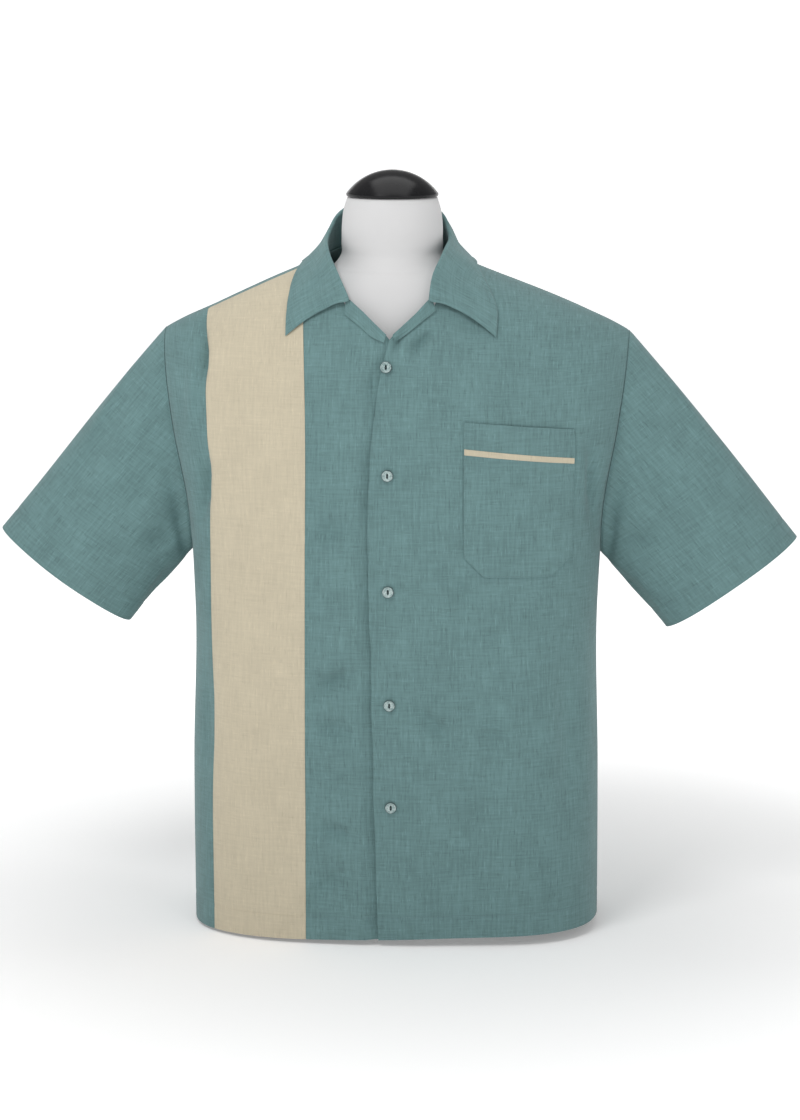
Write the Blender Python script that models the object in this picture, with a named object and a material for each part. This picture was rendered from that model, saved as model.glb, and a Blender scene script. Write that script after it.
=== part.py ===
"""Short-sleeved bowling shirt with a cream contrast panel, worn by a limbless dress form.

Metres, +Z up, the front of the shirt faces -Y and the wearer's left is at +X. The origin is the
centre of the form's flat base. Every cut piece of cloth is its own closed wall. All pieces of the
body lie on one surface, torso(turn, rise), so their seams meet: turn is the angle round the body
from the centre front, and rise runs from the front hem (0) over the chest line (1) and the shoulder
(2) to the back chest line (3) and the back hem (4).
"""

import math

import bpy
import mathutils
import numpy as np

# Driving sizes
CLOTH = 0.0015
COLLAR_CLOTH = 0.0020
TRIM_CLOTH = 0.0010
SEAM_GAP = 0.0003
LAY_ON = 0.0008
HEM_HEIGHT = 0.008
HEM_LIFT = 0.0050
CHEST_HEIGHT = 0.580
UNDERARM_HEIGHT = 0.450
QUARTER = math.pi / 2

# The body of the shirt, from the hem up.
BODY_COLUMNS = ("height", "half_width", "front", "back", "squareness")
BODY_SECTIONS = (
    (0.008, 0.2435, 0.1390, 0.1220, 3.1),
    (0.200, 0.2425, 0.1420, 0.1240, 3.0),
    (0.400, 0.2400, 0.1410, 0.1270, 2.8),
    (0.500, 0.2470, 0.1380, 0.1300, 2.6),
    (0.600, 0.2680, 0.1350, 0.1320, 2.5),
    (0.700, 0.2840, 0.1320, 0.1320, 2.4),
    (0.860, 0.2840, 0.1320, 0.1320, 2.4),
)
FRONT_ARCH = 2.0
BACK_ARCH = 2.6
NECK_ASIDE = ((0.742, 0.0), (0.755, -0.0020), (0.780, -0.0070), (0.800, -0.0090), (0.870, -0.0090))

# The top line of the shoulders: distance from the middle, and height.
RIDGE = (
    (-0.040, 0.8260),
    (0.000, 0.8420),
    (0.040, 0.8260),
    (0.074, 0.8010),
    (0.103, 0.7885),
    (0.150, 0.7695),
    (0.190, 0.7525),
    (0.220, 0.7390),
    (0.254, 0.7235),
    (0.275, 0.7120),
    (0.300, 0.6960),
)

# Cutting lines on the body.
SHOULDER_SEAM = 1.92
ARMHOLE_SET = math.radians(10.3)
OVERLAP_EDGE = (
    (0.008, -0.0120),
    (0.170, -0.0165),
    (0.300, -0.0190),
    (0.600, -0.0190),
    (0.656, -0.0125),
    (0.713, -0.0010),
)
UNDERLAP_EDGE = ((0.008, 0.022), (0.665, 0.022), (0.690, 0.019), (0.7135, 0.001))
UNDERLAP_START = -0.045
UNDERLAP_FULL = -0.024
UNDERLAP_DEPTH = 0.0023
CONTRAST_INNER = ((0.008, -0.098), (0.450, -0.0965), (0.640, -0.0965), (0.800, -0.1060))
CONTRAST_OUTER = ((0.008, -0.2130), (0.450, -0.2127), (0.600, -0.2135), (0.760, -0.2225))
V_POINT = 0.7135
V_SIDE = ((0.0000, 0.7135), (0.0220, 0.7345))

# Sleeve
CUFF_MIDDLE = (0.3975, 0.000, 0.4155)
CUFF_HALF_CHORD = 0.0950
CUFF_HALF_DEPTH = 0.0500
CUFF_TILT = math.radians(54.0)
SLEEVE_FALL = math.radians(51.0)
SLEEVE_CAP_FULLNESS = (0.006, 0.000, 0.010)

# Collar stations from the notch at the front end round to the centre back: where the collar is
# sewn on, its roll line with the height of the roll above the body, and the edge of its leaf.
# Turns are in degrees. The bow curves the end of the collar between notch and point.
COLLAR_COLUMNS = (
    "seam_turn",
    "seam_rise",
    "roll_turn",
    "roll_rise",
    "roll_height",
    "edge_turn",
    "edge_rise",
    "bow",
)
COLLAR_STATIONS = (
    (19.8, 1.485, 19.2, 1.505, 0.0045, 44.2, 1.462, 0.045),
    (23.0, 1.595, 21.6, 1.622, 0.0065, 44.3, 1.595, 0.012),
    (26.6, 1.730, 24.9, 1.780, 0.0090, 42.8, 1.715, 0.000),
    (29.4, 1.960, 26.3, 1.975, 0.0110, 39.2, 1.930, 0.000),
    (28.6, 2.100, 23.0, 2.090, 0.0190, 38.0, 2.120, 0.000),
    (24.6, 2.205, 17.9, 2.165, 0.0285, 33.6, 2.290, 0.000),
    (13.6, 2.285, 8.8, 2.235, 0.0350, 20.5, 2.425, 0.000),
    (0.0, 2.320, 0.0, 2.262, 0.0345, 0.0, 2.475, 0.000),
)
COLLAR_BASE = 0.0028

# Turned-out ends of the front facings, from the notch down to the point of the V.
FACING_COLUMNS = ("inner_x", "inner_z", "outer_x", "outer_z")
FACING_ROWS = (
    (0.0430, 0.7523, 0.0470, 0.7388),
    (0.0330, 0.7450, 0.0345, 0.7290),
    (0.0180, 0.7310, 0.0190, 0.7175),
    (0.0060, 0.7195, 0.0075, 0.7125),
)
FACING_ROLL = 0.0032
LEFT_FACING_WIDTH = 0.75

# Pocket on the wearer's left front: distance across and height of its corners.
POCKET_TOP_INNER = (0.0855, 0.6215)
POCKET_TOP_OUTER = (0.2110, 0.6105)
POCKET_BOTTOM_INNER = (0.0866, 0.4425)
POCKET_BOTTOM_OUTER = (0.2090, 0.4405)
POCKET_CHAMFER = 0.0235
TRIM_DROP = (0.0305, 0.0380)
BUTTON_SPOTS = (
    (-0.0035, 0.6825),
    (-0.0010, 0.5600),
    (0.0000, 0.4257),
    (0.0016, 0.2922),
    (0.0033, 0.1700),
)
BUTTON_RADIUS = 0.0069
BUTTON_THICK = 0.0026
# Share of the button's radius, and share of its thickness.
BUTTON_PROFILE = (
    (0.80, 0.00),
    (1.00, 0.25),
    (1.00, 0.75),
    (0.93, 1.00),
    (0.78, 0.94),
    (0.62, 0.70),
    (0.20, 0.64),
)

# Dress form
FORM_COLUMNS = ("height", "half_width", "front", "back", "squareness", "aside")
FORM_SECTIONS = (
    (0.0000, 0.1660, 0.1060, 0.0980, 2.3, 0.0),
    (0.0600, 0.1730, 0.1110, 0.1040, 2.3, 0.0),
    (0.1800, 0.1700, 0.1090, 0.1010, 2.3, 0.0),
    (0.3200, 0.1580, 0.1040, 0.0930, 2.2, 0.0),
    (0.4500, 0.1690, 0.1130, 0.1020, 2.2, 0.0),
    (0.5600, 0.1830, 0.1190, 0.1090, 2.2, 0.0),
    (0.6400, 0.1970, 0.1130, 0.1100, 2.1, 0.0),
    (0.6950, 0.2030, 0.1020, 0.1030, 2.0, 0.0),
    (0.7250, 0.1950, 0.0940, 0.0960, 2.0, 0.0),
    (0.7450, 0.1740, 0.0870, 0.0900, 2.0, -0.0005),
    (0.7620, 0.1420, 0.0800, 0.0850, 2.0, -0.0010),
    (0.7750, 0.1040, 0.0740, 0.0780, 2.0, -0.0020),
    (0.7870, 0.0740, 0.0670, 0.0680, 2.0, -0.0035),
    (0.8000, 0.0610, 0.0600, 0.0600, 2.0, -0.0045),
    (0.8150, 0.0595, 0.0575, 0.0580, 2.0, -0.0050),
    (0.8350, 0.0590, 0.0560, 0.0565, 2.0, -0.0050),
    (0.8550, 0.0565, 0.0535, 0.0545, 2.0, -0.0050),
    (0.8680, 0.0525, 0.0505, 0.0515, 2.0, -0.0050),
)
CAP_ASIDE = -0.0050
CAP_HALF_WIDTH = 0.0540
CAP_HALF_DEPTH = 0.0520
CAP_BOTTOM = 0.8683
CAP_RIM = 0.0035
CAP_DOME = 0.0275

TEAL = (0.115, 0.220, 0.222, 1.0)
CREAM = (0.565, 0.500, 0.385, 1.0)
PEARL_TEAL = (0.210, 0.330, 0.330, 1.0)
WHITE = (0.800, 0.800, 0.800, 1.0)
BLACK = (0.012, 0.012, 0.013, 1.0)


# Helpers
def smooth(value, places, heights):
    """Smooth curve through the given places (Hermite pieces with averaged slopes)."""
    places = np.asarray(places, float)
    heights = np.asarray(heights, float)
    slopes = np.gradient(heights, places)
    piece = np.clip(np.searchsorted(places, value) - 1, 0, len(places) - 2)
    width = places[piece + 1] - places[piece]
    t = np.clip((value - places[piece]) / width, 0, 1)
    start = (1 + 2 * t) * (1 - t) ** 2 * heights[piece] + t * (1 - t) ** 2 * width * slopes[piece]
    end = t**2 * (3 - 2 * t) * heights[piece + 1] + t**2 * (t - 1) * width * slopes[piece + 1]
    return start + end


def column(rows, columns, name):
    return np.array([row[columns.index(name)] for row in rows])


def read_table(rows, columns, at):
    """The other columns of a table at the given values of its first column."""
    places = column(rows, columns, columns[0])
    return [smooth(at, places, column(rows, columns, name)) for name in columns[1:]]


def line_at(points, at):
    """Second number of a list of pairs, at a value of the first."""
    places, values = zip(*points)
    return smooth(at, places, values)


def unit(vectors):
    return vectors / np.maximum(np.linalg.norm(vectors, axis=-1, keepdims=True), 1e-12)


def outward(surface, u, v):
    """Unit normal of surface(u, v), on the side of du x dv."""
    step = 1e-4
    across = surface(u + step, v) - surface(u - step, v)
    along = surface(u, v + step) - surface(u, v - step)
    return unit(np.cross(across, along))


def oval_radius(turn, half_width, depth, squareness):
    """Distance from the middle to a squared oval, in the direction turn (0 is straight ahead)."""
    ahead = np.abs(np.cos(turn)) / depth
    aside = np.abs(np.sin(turn)) / half_width
    return (ahead**squareness + aside**squareness) ** (-1 / squareness)


# The body surface
def top_distance(turn):
    """How far from the middle the line of this turn meets the top of the shoulder."""
    half_width, front, _, squareness = read_table(BODY_SECTIONS, BODY_COLUMNS, BODY_SECTIONS[-1][0])
    return oval_radius(turn, half_width, front, squareness) * np.abs(np.sin(turn))


def torso(turn, rise):
    """Point of the worn body: squared ovals up to the chest line, then arches to the shoulder."""
    turn, rise = np.broadcast_arrays(np.asarray(turn, float), np.asarray(rise, float))
    behind = rise > 2
    level = np.where(behind, 4 - rise, rise)
    lean = np.clip(level - 1, 0, 1) * QUARTER
    arch = np.where(behind, BACK_ARCH, FRONT_ARCH)
    size = (np.cos(lean) ** arch + np.sin(lean) ** arch) ** (-1 / arch)
    ridge = line_at(RIDGE, top_distance(turn))
    height = HEM_HEIGHT + (CHEST_HEIGHT - HEM_HEIGHT) * np.clip(level, 0, 1)
    height = height + HEM_LIFT * np.sin(turn) * np.clip(1 - 2 * level, 0, 1) ** 2
    height = height + (ridge - CHEST_HEIGHT) * size * np.sin(lean)
    half_width, front, back, squareness = read_table(BODY_SECTIONS, BODY_COLUMNS, height)
    radius = oval_radius(turn, half_width, np.where(behind, back, front), squareness)
    side = np.where(behind, 1.0, -1.0)
    y = side * radius * np.cos(turn) * size * np.cos(lean)
    return np.stack([radius * np.sin(turn) + line_at(NECK_ASIDE, height), y, height], axis=-1)


def locate(x, z):
    """(turn, rise) of the point of the front at distance x from the middle and height z, leaving
    out the small lift of the hem."""
    x = x - line_at(NECK_ASIDE, z)
    half_width, front, _, squareness = read_table(BODY_SECTIONS, BODY_COLUMNS, z)
    depth = front * (1 - (np.abs(x) / half_width) ** squareness) ** (1 / squareness)
    turn = np.arctan2(x, depth)
    ridge = line_at(RIDGE, top_distance(turn))
    up = np.clip((z - CHEST_HEIGHT) / (ridge - CHEST_HEIGHT), 0, 1)
    lean = np.arctan2(up, (1 - up**FRONT_ARCH) ** (1 / FRONT_ARCH))
    below = np.clip((z - HEM_HEIGHT) / (CHEST_HEIGHT - HEM_HEIGHT), 0, 1)
    return turn, below + lean / QUARTER


def on_front(x, z, off=0.0):
    """Point of the front at distance x and height z, moved off the cloth by off."""
    turn, rise = locate(np.asarray(x, float), np.asarray(z, float))
    return torso(turn, rise) + outward(torso, turn, rise) * np.asarray(off)[..., None]


def armhole(angle):
    """(turn, rise) of the armhole: angle 0 is the underarm, pi/2 the front, pi the shoulder."""
    angle = np.mod(angle, 2 * math.pi)
    behind = angle > math.pi
    angle = np.where(behind, 2 * math.pi - angle, angle)
    underarm = (UNDERARM_HEIGHT - HEM_HEIGHT) / (CHEST_HEIGHT - HEM_HEIGHT)
    low = 1 - (1 - underarm) * np.cos(np.minimum(angle, QUARTER))
    rise = low + np.maximum(angle - QUARTER, 0) / QUARTER
    turn = QUARTER - ARMHOLE_SET * np.sin(np.minimum(angle, QUARTER))
    return turn, np.where(behind, 4 - rise, rise)


def sleeve(angle, along):
    """Point of the sleeve on +X: a smooth run from the armhole to the tilted oval of the cuff."""
    angle, along = np.broadcast_arrays(np.asarray(angle, float), np.asarray(along, float))
    start = torso(*armhole(angle))
    up_chord = np.array([math.sin(CUFF_TILT), 0.0, math.cos(CUFF_TILT)])
    down_arm = np.array([math.cos(SLEEVE_FALL), 0.0, -math.sin(SLEEVE_FALL)])
    forward = np.array([0.0, -1.0, 0.0])
    end = np.array(CUFF_MIDDLE) - np.cos(angle)[..., None] * CUFF_HALF_CHORD * up_chord
    end = end + np.sin(angle)[..., None] * CUFF_HALF_DEPTH * forward
    run = end - start
    cap = np.maximum(-np.cos(angle), 0)[..., None] ** 2
    leave = run + cap * np.array(SLEEVE_CAP_FULLNESS)
    arrive = down_arm * np.linalg.norm(run, axis=-1, keepdims=True)
    t = along[..., None]
    start_part = (1 + 2 * t) * (1 - t) ** 2 * start + t * (1 - t) ** 2 * leave
    return start_part + t**2 * (3 - 2 * t) * end + t**2 * (t - 1) * arrive


def sleeve_backwards(angle, along):
    """The sleeve with its angle counted the other way, so that its outward side faces out."""
    return sleeve(-angle, along)


def armhole_inward(angle):
    """Direction into the wall at the armhole seam, shared by the body and the sleeve."""
    body = outward(torso, *armhole(angle))
    arm = outward(sleeve_backwards, -angle, np.full_like(angle, 0.02))
    return unit(-body - arm)


# Solids
def finish(name, colour, roughness):
    material = bpy.data.materials.new(name)
    material.use_nodes = True
    shader = material.node_tree.nodes["Principled BSDF"]
    shader.inputs["Base Color"].default_value = colour
    shader.inputs["Roughness"].default_value = roughness
    shader.inputs["Metallic"].default_value = 0.0
    return material


def add_object(name, points, faces, material):
    mesh = bpy.data.meshes.new(name)
    mesh.from_pydata(points.tolist(), [], faces)
    mesh.validate()
    mesh.materials.append(material)
    mesh.shade_smooth()
    mesh.set_sharp_from_angle(angle=math.radians(50))
    piece = bpy.data.objects.new(name, mesh)
    bpy.context.scene.collection.objects.link(piece)
    return piece


def wall(name, outer, inner, material, tube=False):
    """Closed wall between two grids of points. A tube's last column joins its first."""
    rows, columns = outer.shape[:2]
    count = rows * columns
    grid = np.arange(count).reshape(rows, columns)
    if tube:
        grid = np.hstack([grid, grid[:, :1]])
    corners = (grid[:-1, :-1], grid[:-1, 1:], grid[1:, 1:], grid[1:, :-1])
    quads = np.stack([corner.ravel() for corner in corners], axis=1)
    loops = [grid[0], grid[-1, ::-1]]
    if not tube:
        round_the_edge = grid[0, :-1], grid[:-1, -1], grid[-1, :0:-1], grid[:0:-1, 0], grid[:1, 0]
        loops = [np.concatenate(round_the_edge)]
    rims = [
        np.stack([loop[1:], loop[:-1], loop[:-1] + count, loop[1:] + count], axis=1) for loop in loops
    ]
    faces = np.concatenate([quads, quads[:, ::-1] + count, *rims])
    points = np.concatenate([outer.reshape(-1, 3), inner.reshape(-1, 3)])
    return add_object(name, points, faces.tolist(), material)


def mirrored(grid):
    return grid[:, ::-1] * np.array([-1.0, 1.0, 1.0])


def pulled_in(grid, below=0.0, above=0.0, start=0.0, end=0.0):
    """Grid with its edges moved towards their neighbours, to leave the gaps of the seams."""
    grid = grid.copy()
    for amount, edge, near in ((below, 0, 1), (above, -1, -2)):
        grid[edge] += unit(grid[near] - grid[edge]) * amount
    for amount, edge, near in ((start, 0, 1), (end, -1, -2)):
        grid[:, edge] += unit(grid[:, near] - grid[:, edge]) * amount
    return grid


def laid(turn, rise, off=0.0):
    """Outer and inner grids of cloth on the body surface, its outer face moved off by off."""
    normal = outward(torso, turn, rise)
    outer = torso(turn, rise) + normal * np.asarray(off)[..., None]
    return outer, outer - normal * CLOTH


def side_turn(rise):
    """Turn of the side seam, and above the underarm of the armhole."""
    level = np.where(rise > 2, 4 - rise, rise)
    reach = np.clip((1 - level) / (1 - UNDERARM_RISE), 0, 1)
    return QUARTER - ARMHOLE_SET * np.sqrt(1 - reach**2)


def turn_on_line(points, rise, sign=1.0):
    """Turn, at each rise, of an upright cutting line given as pairs of height and distance."""
    turn = np.zeros_like(rise)
    for _ in range(6):
        height = torso(turn, rise)[..., 2]
        turn = locate(sign * line_at(points, height), height)[0]
    return turn


def neck_turn(rise):
    """Turn of the front neckline: up the side of the V, then along the collar seam."""
    v_turns, v_rises = locate(*np.array(V_SIDE).T)
    front = [row for row in COLLAR_STATIONS if row[COLLAR_COLUMNS.index("seam_rise")] < 2]
    turns = np.radians(column(front, COLLAR_COLUMNS, "seam_turn"))
    rises = column(front, COLLAR_COLUMNS, "seam_rise")
    return smooth(rise, np.concatenate([v_rises, rises]), np.concatenate([v_turns, turns]))


# Rows shared by the panels, so that the corners of their facets meet along every seam.
UNDERARM_RISE = (UNDERARM_HEIGHT - HEM_HEIGHT) / (CHEST_HEIGHT - HEM_HEIGHT)
V_RISE = float(locate(0.0, V_POINT)[1])
SIDE_RISES = np.linspace(0, UNDERARM_RISE, 8)
FRONT_ANGLES = np.concatenate(
    [
        [0.0, 0.30, 0.62, 0.94, 1.26],
        QUARTER * np.linspace(1, V_RISE, 4),
        QUARTER * np.linspace(V_RISE, SHOULDER_SEAM, 7)[1:],
    ]
)
BACK_ANGLES = 2 * math.pi - FRONT_ANGLES[::-1]


def front_rises():
    return np.concatenate([SIDE_RISES[:-1], armhole(FRONT_ANGLES)[1]])


def back_rises():
    """From the shoulder seam over the ridge and down the back."""
    return np.concatenate([[SHOULDER_SEAM, 2.0], 4 - front_rises()[::-1]])


def front_panel(name, first, last, columns, material, off=None, side=None, **gaps):
    """Front panel between two lists of turns, one for each row."""
    rise = np.repeat(front_rises()[:, None], columns, axis=1)
    share = np.linspace(0, 1, columns)
    turn = first[:, None] + (last - first)[:, None] * share
    outer, inner = laid(turn, rise, 0.0 if off is None else off(torso(turn, rise)[..., 0]))
    if side is not None:
        rows = slice(len(SIDE_RISES) - 1, None)
        mirror = (-1.0, 1.0, 1.0) if side == 0 else (1.0, 1.0, 1.0)
        inner[rows, side] = outer[rows, side] + armhole_inward(FRONT_ANGLES) * mirror * CLOTH
    return wall(name, pulled_in(outer, **gaps), pulled_in(inner, **gaps), material)


def underlap_sink(x):
    """How far the right front dips to pass below the left one."""
    t = np.clip((x - UNDERLAP_START) / (UNDERLAP_FULL - UNDERLAP_START), 0, 1)
    return -UNDERLAP_DEPTH * t**2 * (3 - 2 * t)


def fronts(teal, cream):
    half = SEAM_GAP / 2
    rise = front_rises()
    in_v = rise >= V_RISE - 1e-9
    neck = neck_turn(rise)
    over = np.where(in_v, neck, turn_on_line(OVERLAP_EDGE, rise))
    under = np.where(in_v, -neck, turn_on_line(UNDERLAP_EDGE, rise))
    inner_line = turn_on_line(CONTRAST_INNER, rise)
    outer_line = turn_on_line(CONTRAST_OUTER, rise)
    arm = side_turn(rise)
    front_panel("front_left", over, arm, 17, teal, side=-1, above=half, end=half)
    front_panel(
        "front_right_centre", inner_line, under, 8, teal, off=underlap_sink, above=half, start=half
    )
    front_panel("front_right_contrast", outer_line, inner_line, 6, cream, above=half, start=half, end=half)
    front_panel("front_right_side", -arm, outer_line, 6, teal, side=0, above=half, start=half, end=half)


def back(teal):
    """One panel from armhole to armhole, cut out round the back of the neck."""
    stations = np.array(COLLAR_STATIONS)
    places = np.arange(len(stations))
    at_seam = np.interp(SHOULDER_SEAM, stations[:5, 1], places[:5])
    half_neck = np.linspace(places[-1], at_seam, 7)
    neck_turns = np.radians(smooth(half_neck, places, stations[:, 0]))
    neck_rises = smooth(half_neck, places, stations[:, 1])
    neck_rises[-1] = SHOULDER_SEAM
    shoulder = np.linspace(neck_turns[-1], QUARTER - ARMHOLE_SET, 9)[1:]
    top_turn = np.concatenate([neck_turns, shoulder])
    top_rise = np.concatenate([neck_rises, np.full(len(shoulder), SHOULDER_SEAM)])
    spread = (top_turn - top_turn[0]) / (top_turn[-1] - top_turn[0])
    low_turn = QUARTER * (0.25 * np.linspace(0, 1, len(spread)) + 0.75 * spread)
    mirror = [-1.0] * (len(top_turn) - 1) + [1.0] * len(top_turn)
    top_turn, top_rise, low_turn = (
        np.concatenate([half[:0:-1], half]) for half in (top_turn, top_rise, low_turn)
    )
    mirror = np.array(mirror)
    rise_row = back_rises()[:, None]
    down = (rise_row - SHOULDER_SEAM) / (4 - SHOULDER_SEAM)
    rise = top_rise + (4 - top_rise) * down
    pull = (QUARTER - side_turn(rise_row)) / ARMHOLE_SET
    turn = (low_turn + (top_turn - low_turn) * pull) * mirror
    outer, inner = laid(turn, rise)
    angles = np.concatenate([[QUARTER * SHOULDER_SEAM, math.pi], BACK_ANGLES])
    rows = slice(0, len(angles))
    into = armhole_inward(angles) * CLOTH
    inner[rows, -1] = outer[rows, -1] + into
    inner[rows, 0] = outer[rows, 0] + into * (-1.0, 1.0, 1.0)
    half = SEAM_GAP / 2
    gaps = {"below": half, "start": half, "end": half}
    wall("back", pulled_in(outer, **gaps), pulled_in(inner, **gaps), teal)


def sleeves(teal):
    angles = np.concatenate([FRONT_ANGLES, [math.pi], BACK_ANGLES[:-1]])
    turns = -angles[::-1]
    along = np.linspace(0, 1, 7)[:, None]
    shift = np.array([SEAM_GAP, 0.0, 0.0])
    outer = sleeve_backwards(turns[None, :], along) + shift
    normal = outward(sleeve_backwards, np.repeat(turns[None, :], len(along), axis=0), along)
    inner = outer - normal * CLOTH
    inner[0] = outer[0] + armhole_inward(angles[::-1]) * CLOTH
    wall("sleeve_left", outer, inner, teal, tube=True)
    wall("sleeve_right", mirrored(outer), mirrored(inner), teal, tube=True)


# The collar across its width. The first three numbers share out seam, roll line and leaf edge, out
# moves the cloth sideways, and the last two share the height of the roll and of the lying cloth.
COLLAR_PROFILE_COLUMNS = ("seam", "roll", "edge", "out", "height", "base")
COLLAR_PROFILE = (
    (1.00, 0.00, 0.00, 0.0000, 0.00, 0.50),
    (0.50, 0.50, 0.00, -0.0014, 0.50, 0.60),
    (0.10, 0.90, 0.00, -0.0020, 0.90, 0.85),
    (0.00, 1.00, 0.00, 0.0004, 1.00, 1.05),
    (0.00, 0.97, 0.03, 0.0030, 0.92, 1.10),
    (0.00, 0.75, 0.25, 0.0020, 0.74, 1.10),
    (0.00, 0.45, 0.55, 0.0008, 0.46, 1.05),
    (0.00, 0.20, 0.80, 0.0000, 0.20, 1.00),
    (0.00, 0.00, 1.00, 0.0000, 0.00, 1.00),
)


def collar_point(station, place):
    """Middle of the collar's cloth. station runs from one front end round the back to the other,
    place from the neck seam up the stand, over the roll and down the leaf to its edge."""
    last = len(COLLAR_STATIONS) - 1
    side = np.where(station < last, -1.0, 1.0)
    nearest = last - np.abs(station - last)
    rows = np.array(COLLAR_STATIONS)
    beyond_end = 2 * rows[:1] - rows[1:2]
    over_the_back = rows[-2:-1] * np.where([name.endswith("turn") for name in COLLAR_COLUMNS], -1.0, 1.0)
    rows = np.concatenate([beyond_end, rows, over_the_back])
    places = np.arange(-1, last + 2)
    values = {
        name: smooth(nearest, places, rows[:, number]) for number, name in enumerate(COLLAR_COLUMNS)
    }
    steps = np.arange(len(COLLAR_PROFILE))
    shares = {
        name: smooth(place, steps, column(COLLAR_PROFILE, COLLAR_PROFILE_COLUMNS, name))
        for name in COLLAR_PROFILE_COLUMNS
    }
    seam = np.radians(values["seam_turn"]), values["seam_rise"]
    roll = np.radians(values["roll_turn"]), values["roll_rise"]
    edge = np.radians(values["edge_turn"]), values["edge_rise"]
    leaf_width = np.linalg.norm(torso(*edge) - torso(*roll), axis=-1)
    out = shares["out"] / leaf_width
    turn, rise = (
        shares["seam"] * seam[i] + shares["roll"] * roll[i] + shares["edge"] * edge[i]
        + out * (edge[i] - roll[i])
        for i in (0, 1)
    )
    rise = rise + values["bow"] * 4 * shares["edge"] * (1 - shares["edge"])
    height = COLLAR_BASE * shares["base"] + values["roll_height"] * shares["height"]
    turn = turn * side
    return torso(turn, rise) + outward(torso, turn, rise) * height[..., None]


def collar(teal):
    last = len(COLLAR_STATIONS) - 1
    station, place = np.meshgrid(
        np.linspace(0, 2 * last, 4 * last + 1), np.linspace(0, len(COLLAR_PROFILE) - 1, 12)
    )
    middle = collar_point(station, place)
    normal = outward(collar_point, station, place)
    half = COLLAR_CLOTH / 2
    wall("collar", middle + normal * half, middle - normal * half, teal)


def facings(teal):
    """Turned-out ends of the front facings: narrow strips beside the V."""
    rows = np.array(FACING_ROWS)
    along = np.linspace(0, 1, 7)[:, None]
    across = np.linspace(1, 0, 4)[None, :]
    places = np.linspace(0, 1, len(rows))
    inner_x, inner_z, outer_x, outer_z = (smooth(along, places, rows[:, i]) for i in range(4))
    off = LAY_ON + CLOTH + (FACING_ROLL - LAY_ON) * (1 - across) + 0 * inner_x
    for name, side, width in (("facing_left", 1, LEFT_FACING_WIDTH), ("facing_right", -1, 1.0)):
        z = inner_z + (outer_z - inner_z) * across * width
        x = side * (inner_x + (outer_x - inner_x) * across * width) + line_at(NECK_ASIDE, z)
        outer, inner = laid(*locate(x, z), off)
        wall(name, outer[:, ::side], inner[:, ::side], teal)


def pocket_grid(up):
    """Turns and rises of rows across the pocket, up being their share of its height."""
    chamfer_share = POCKET_CHAMFER / (POCKET_TOP_INNER[1] - POCKET_BOTTOM_INNER[1])
    up = up[:, None]
    across = np.linspace(0, 1, 8)[None, :]
    cut = POCKET_CHAMFER * np.clip(1 - up / chamfer_share, 0, 1)
    left_x = POCKET_BOTTOM_INNER[0] + (POCKET_TOP_INNER[0] - POCKET_BOTTOM_INNER[0]) * up + cut
    right_x = POCKET_BOTTOM_OUTER[0] + (POCKET_TOP_OUTER[0] - POCKET_BOTTOM_OUTER[0]) * up - cut
    left_z = POCKET_BOTTOM_INNER[1] + (POCKET_TOP_INNER[1] - POCKET_BOTTOM_INNER[1]) * up
    right_z = POCKET_BOTTOM_OUTER[1] + (POCKET_TOP_OUTER[1] - POCKET_BOTTOM_OUTER[1]) * up
    return locate(left_x + (right_x - left_x) * across, left_z + (right_z - left_z) * across)


def pocket(teal, cream):
    deep = POCKET_TOP_INNER[1] - POCKET_BOTTOM_INNER[1]
    chamfer_share = POCKET_CHAMFER / deep
    rows = np.concatenate([[0.0, chamfer_share / 2], np.linspace(chamfer_share, 1, 9)])
    outer, inner = laid(*pocket_grid(rows), LAY_ON + CLOTH)
    wall("pocket", outer, inner, teal)
    band = 1 - np.array([TRIM_DROP[1], TRIM_DROP[0]]) / deep
    turn, rise = pocket_grid(band)
    normal = outward(torso, turn, rise)
    low = torso(turn, rise) + normal * (LAY_ON + CLOTH + SEAM_GAP)
    wall("pocket_trim", low + normal * TRIM_CLOTH, low, cream)


def turned(name, rings, around, half_width, half_depth, material):
    """Closed round body from rings of (scale, height), from the lowest up."""
    angle = np.linspace(0, 2 * math.pi, around, endpoint=False)
    scale = np.array([ring[0] for ring in rings])[:, None]
    height = np.array([ring[1] for ring in rings])[:, None] + 0 * angle
    points = np.stack(
        [scale * half_width * np.sin(angle), -scale * half_depth * np.cos(angle), height], axis=-1
    )
    return capped(name, points, material)


def capped(name, points, material):
    """Closed body from a grid of rings, with a flat face at each end."""
    rows, around = points.shape[:2]
    grid = np.arange(rows * around).reshape(rows, around)
    wide = np.hstack([grid, grid[:, :1]])
    corners = (wide[:-1, :-1], wide[:-1, 1:], wide[1:, 1:], wide[1:, :-1])
    quads = np.stack([corner.ravel() for corner in corners], axis=1).tolist()
    faces = quads + [grid[0, ::-1].tolist(), grid[-1].tolist()]
    return add_object(name, points.reshape(-1, 3), faces, material)


def buttons(pearl):
    """Five round buttons with a raised rim and a shallow well, on the edge of the left front."""
    rings = [(scale, share * BUTTON_THICK) for scale, share in BUTTON_PROFILE]
    for number, (x, z) in enumerate(BUTTON_SPOTS, start=1):
        button = turned(f"button_{number}", rings, 18, BUTTON_RADIUS, BUTTON_RADIUS, pearl)
        turn, rise = locate(np.array(x), np.array(z))
        facing = mathutils.Vector(outward(torso, turn, rise))
        button.location = on_front(x, z, LAY_ON)
        button.rotation_mode = "QUATERNION"
        button.rotation_quaternion = facing.to_track_quat("Z", "Y")


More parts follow.
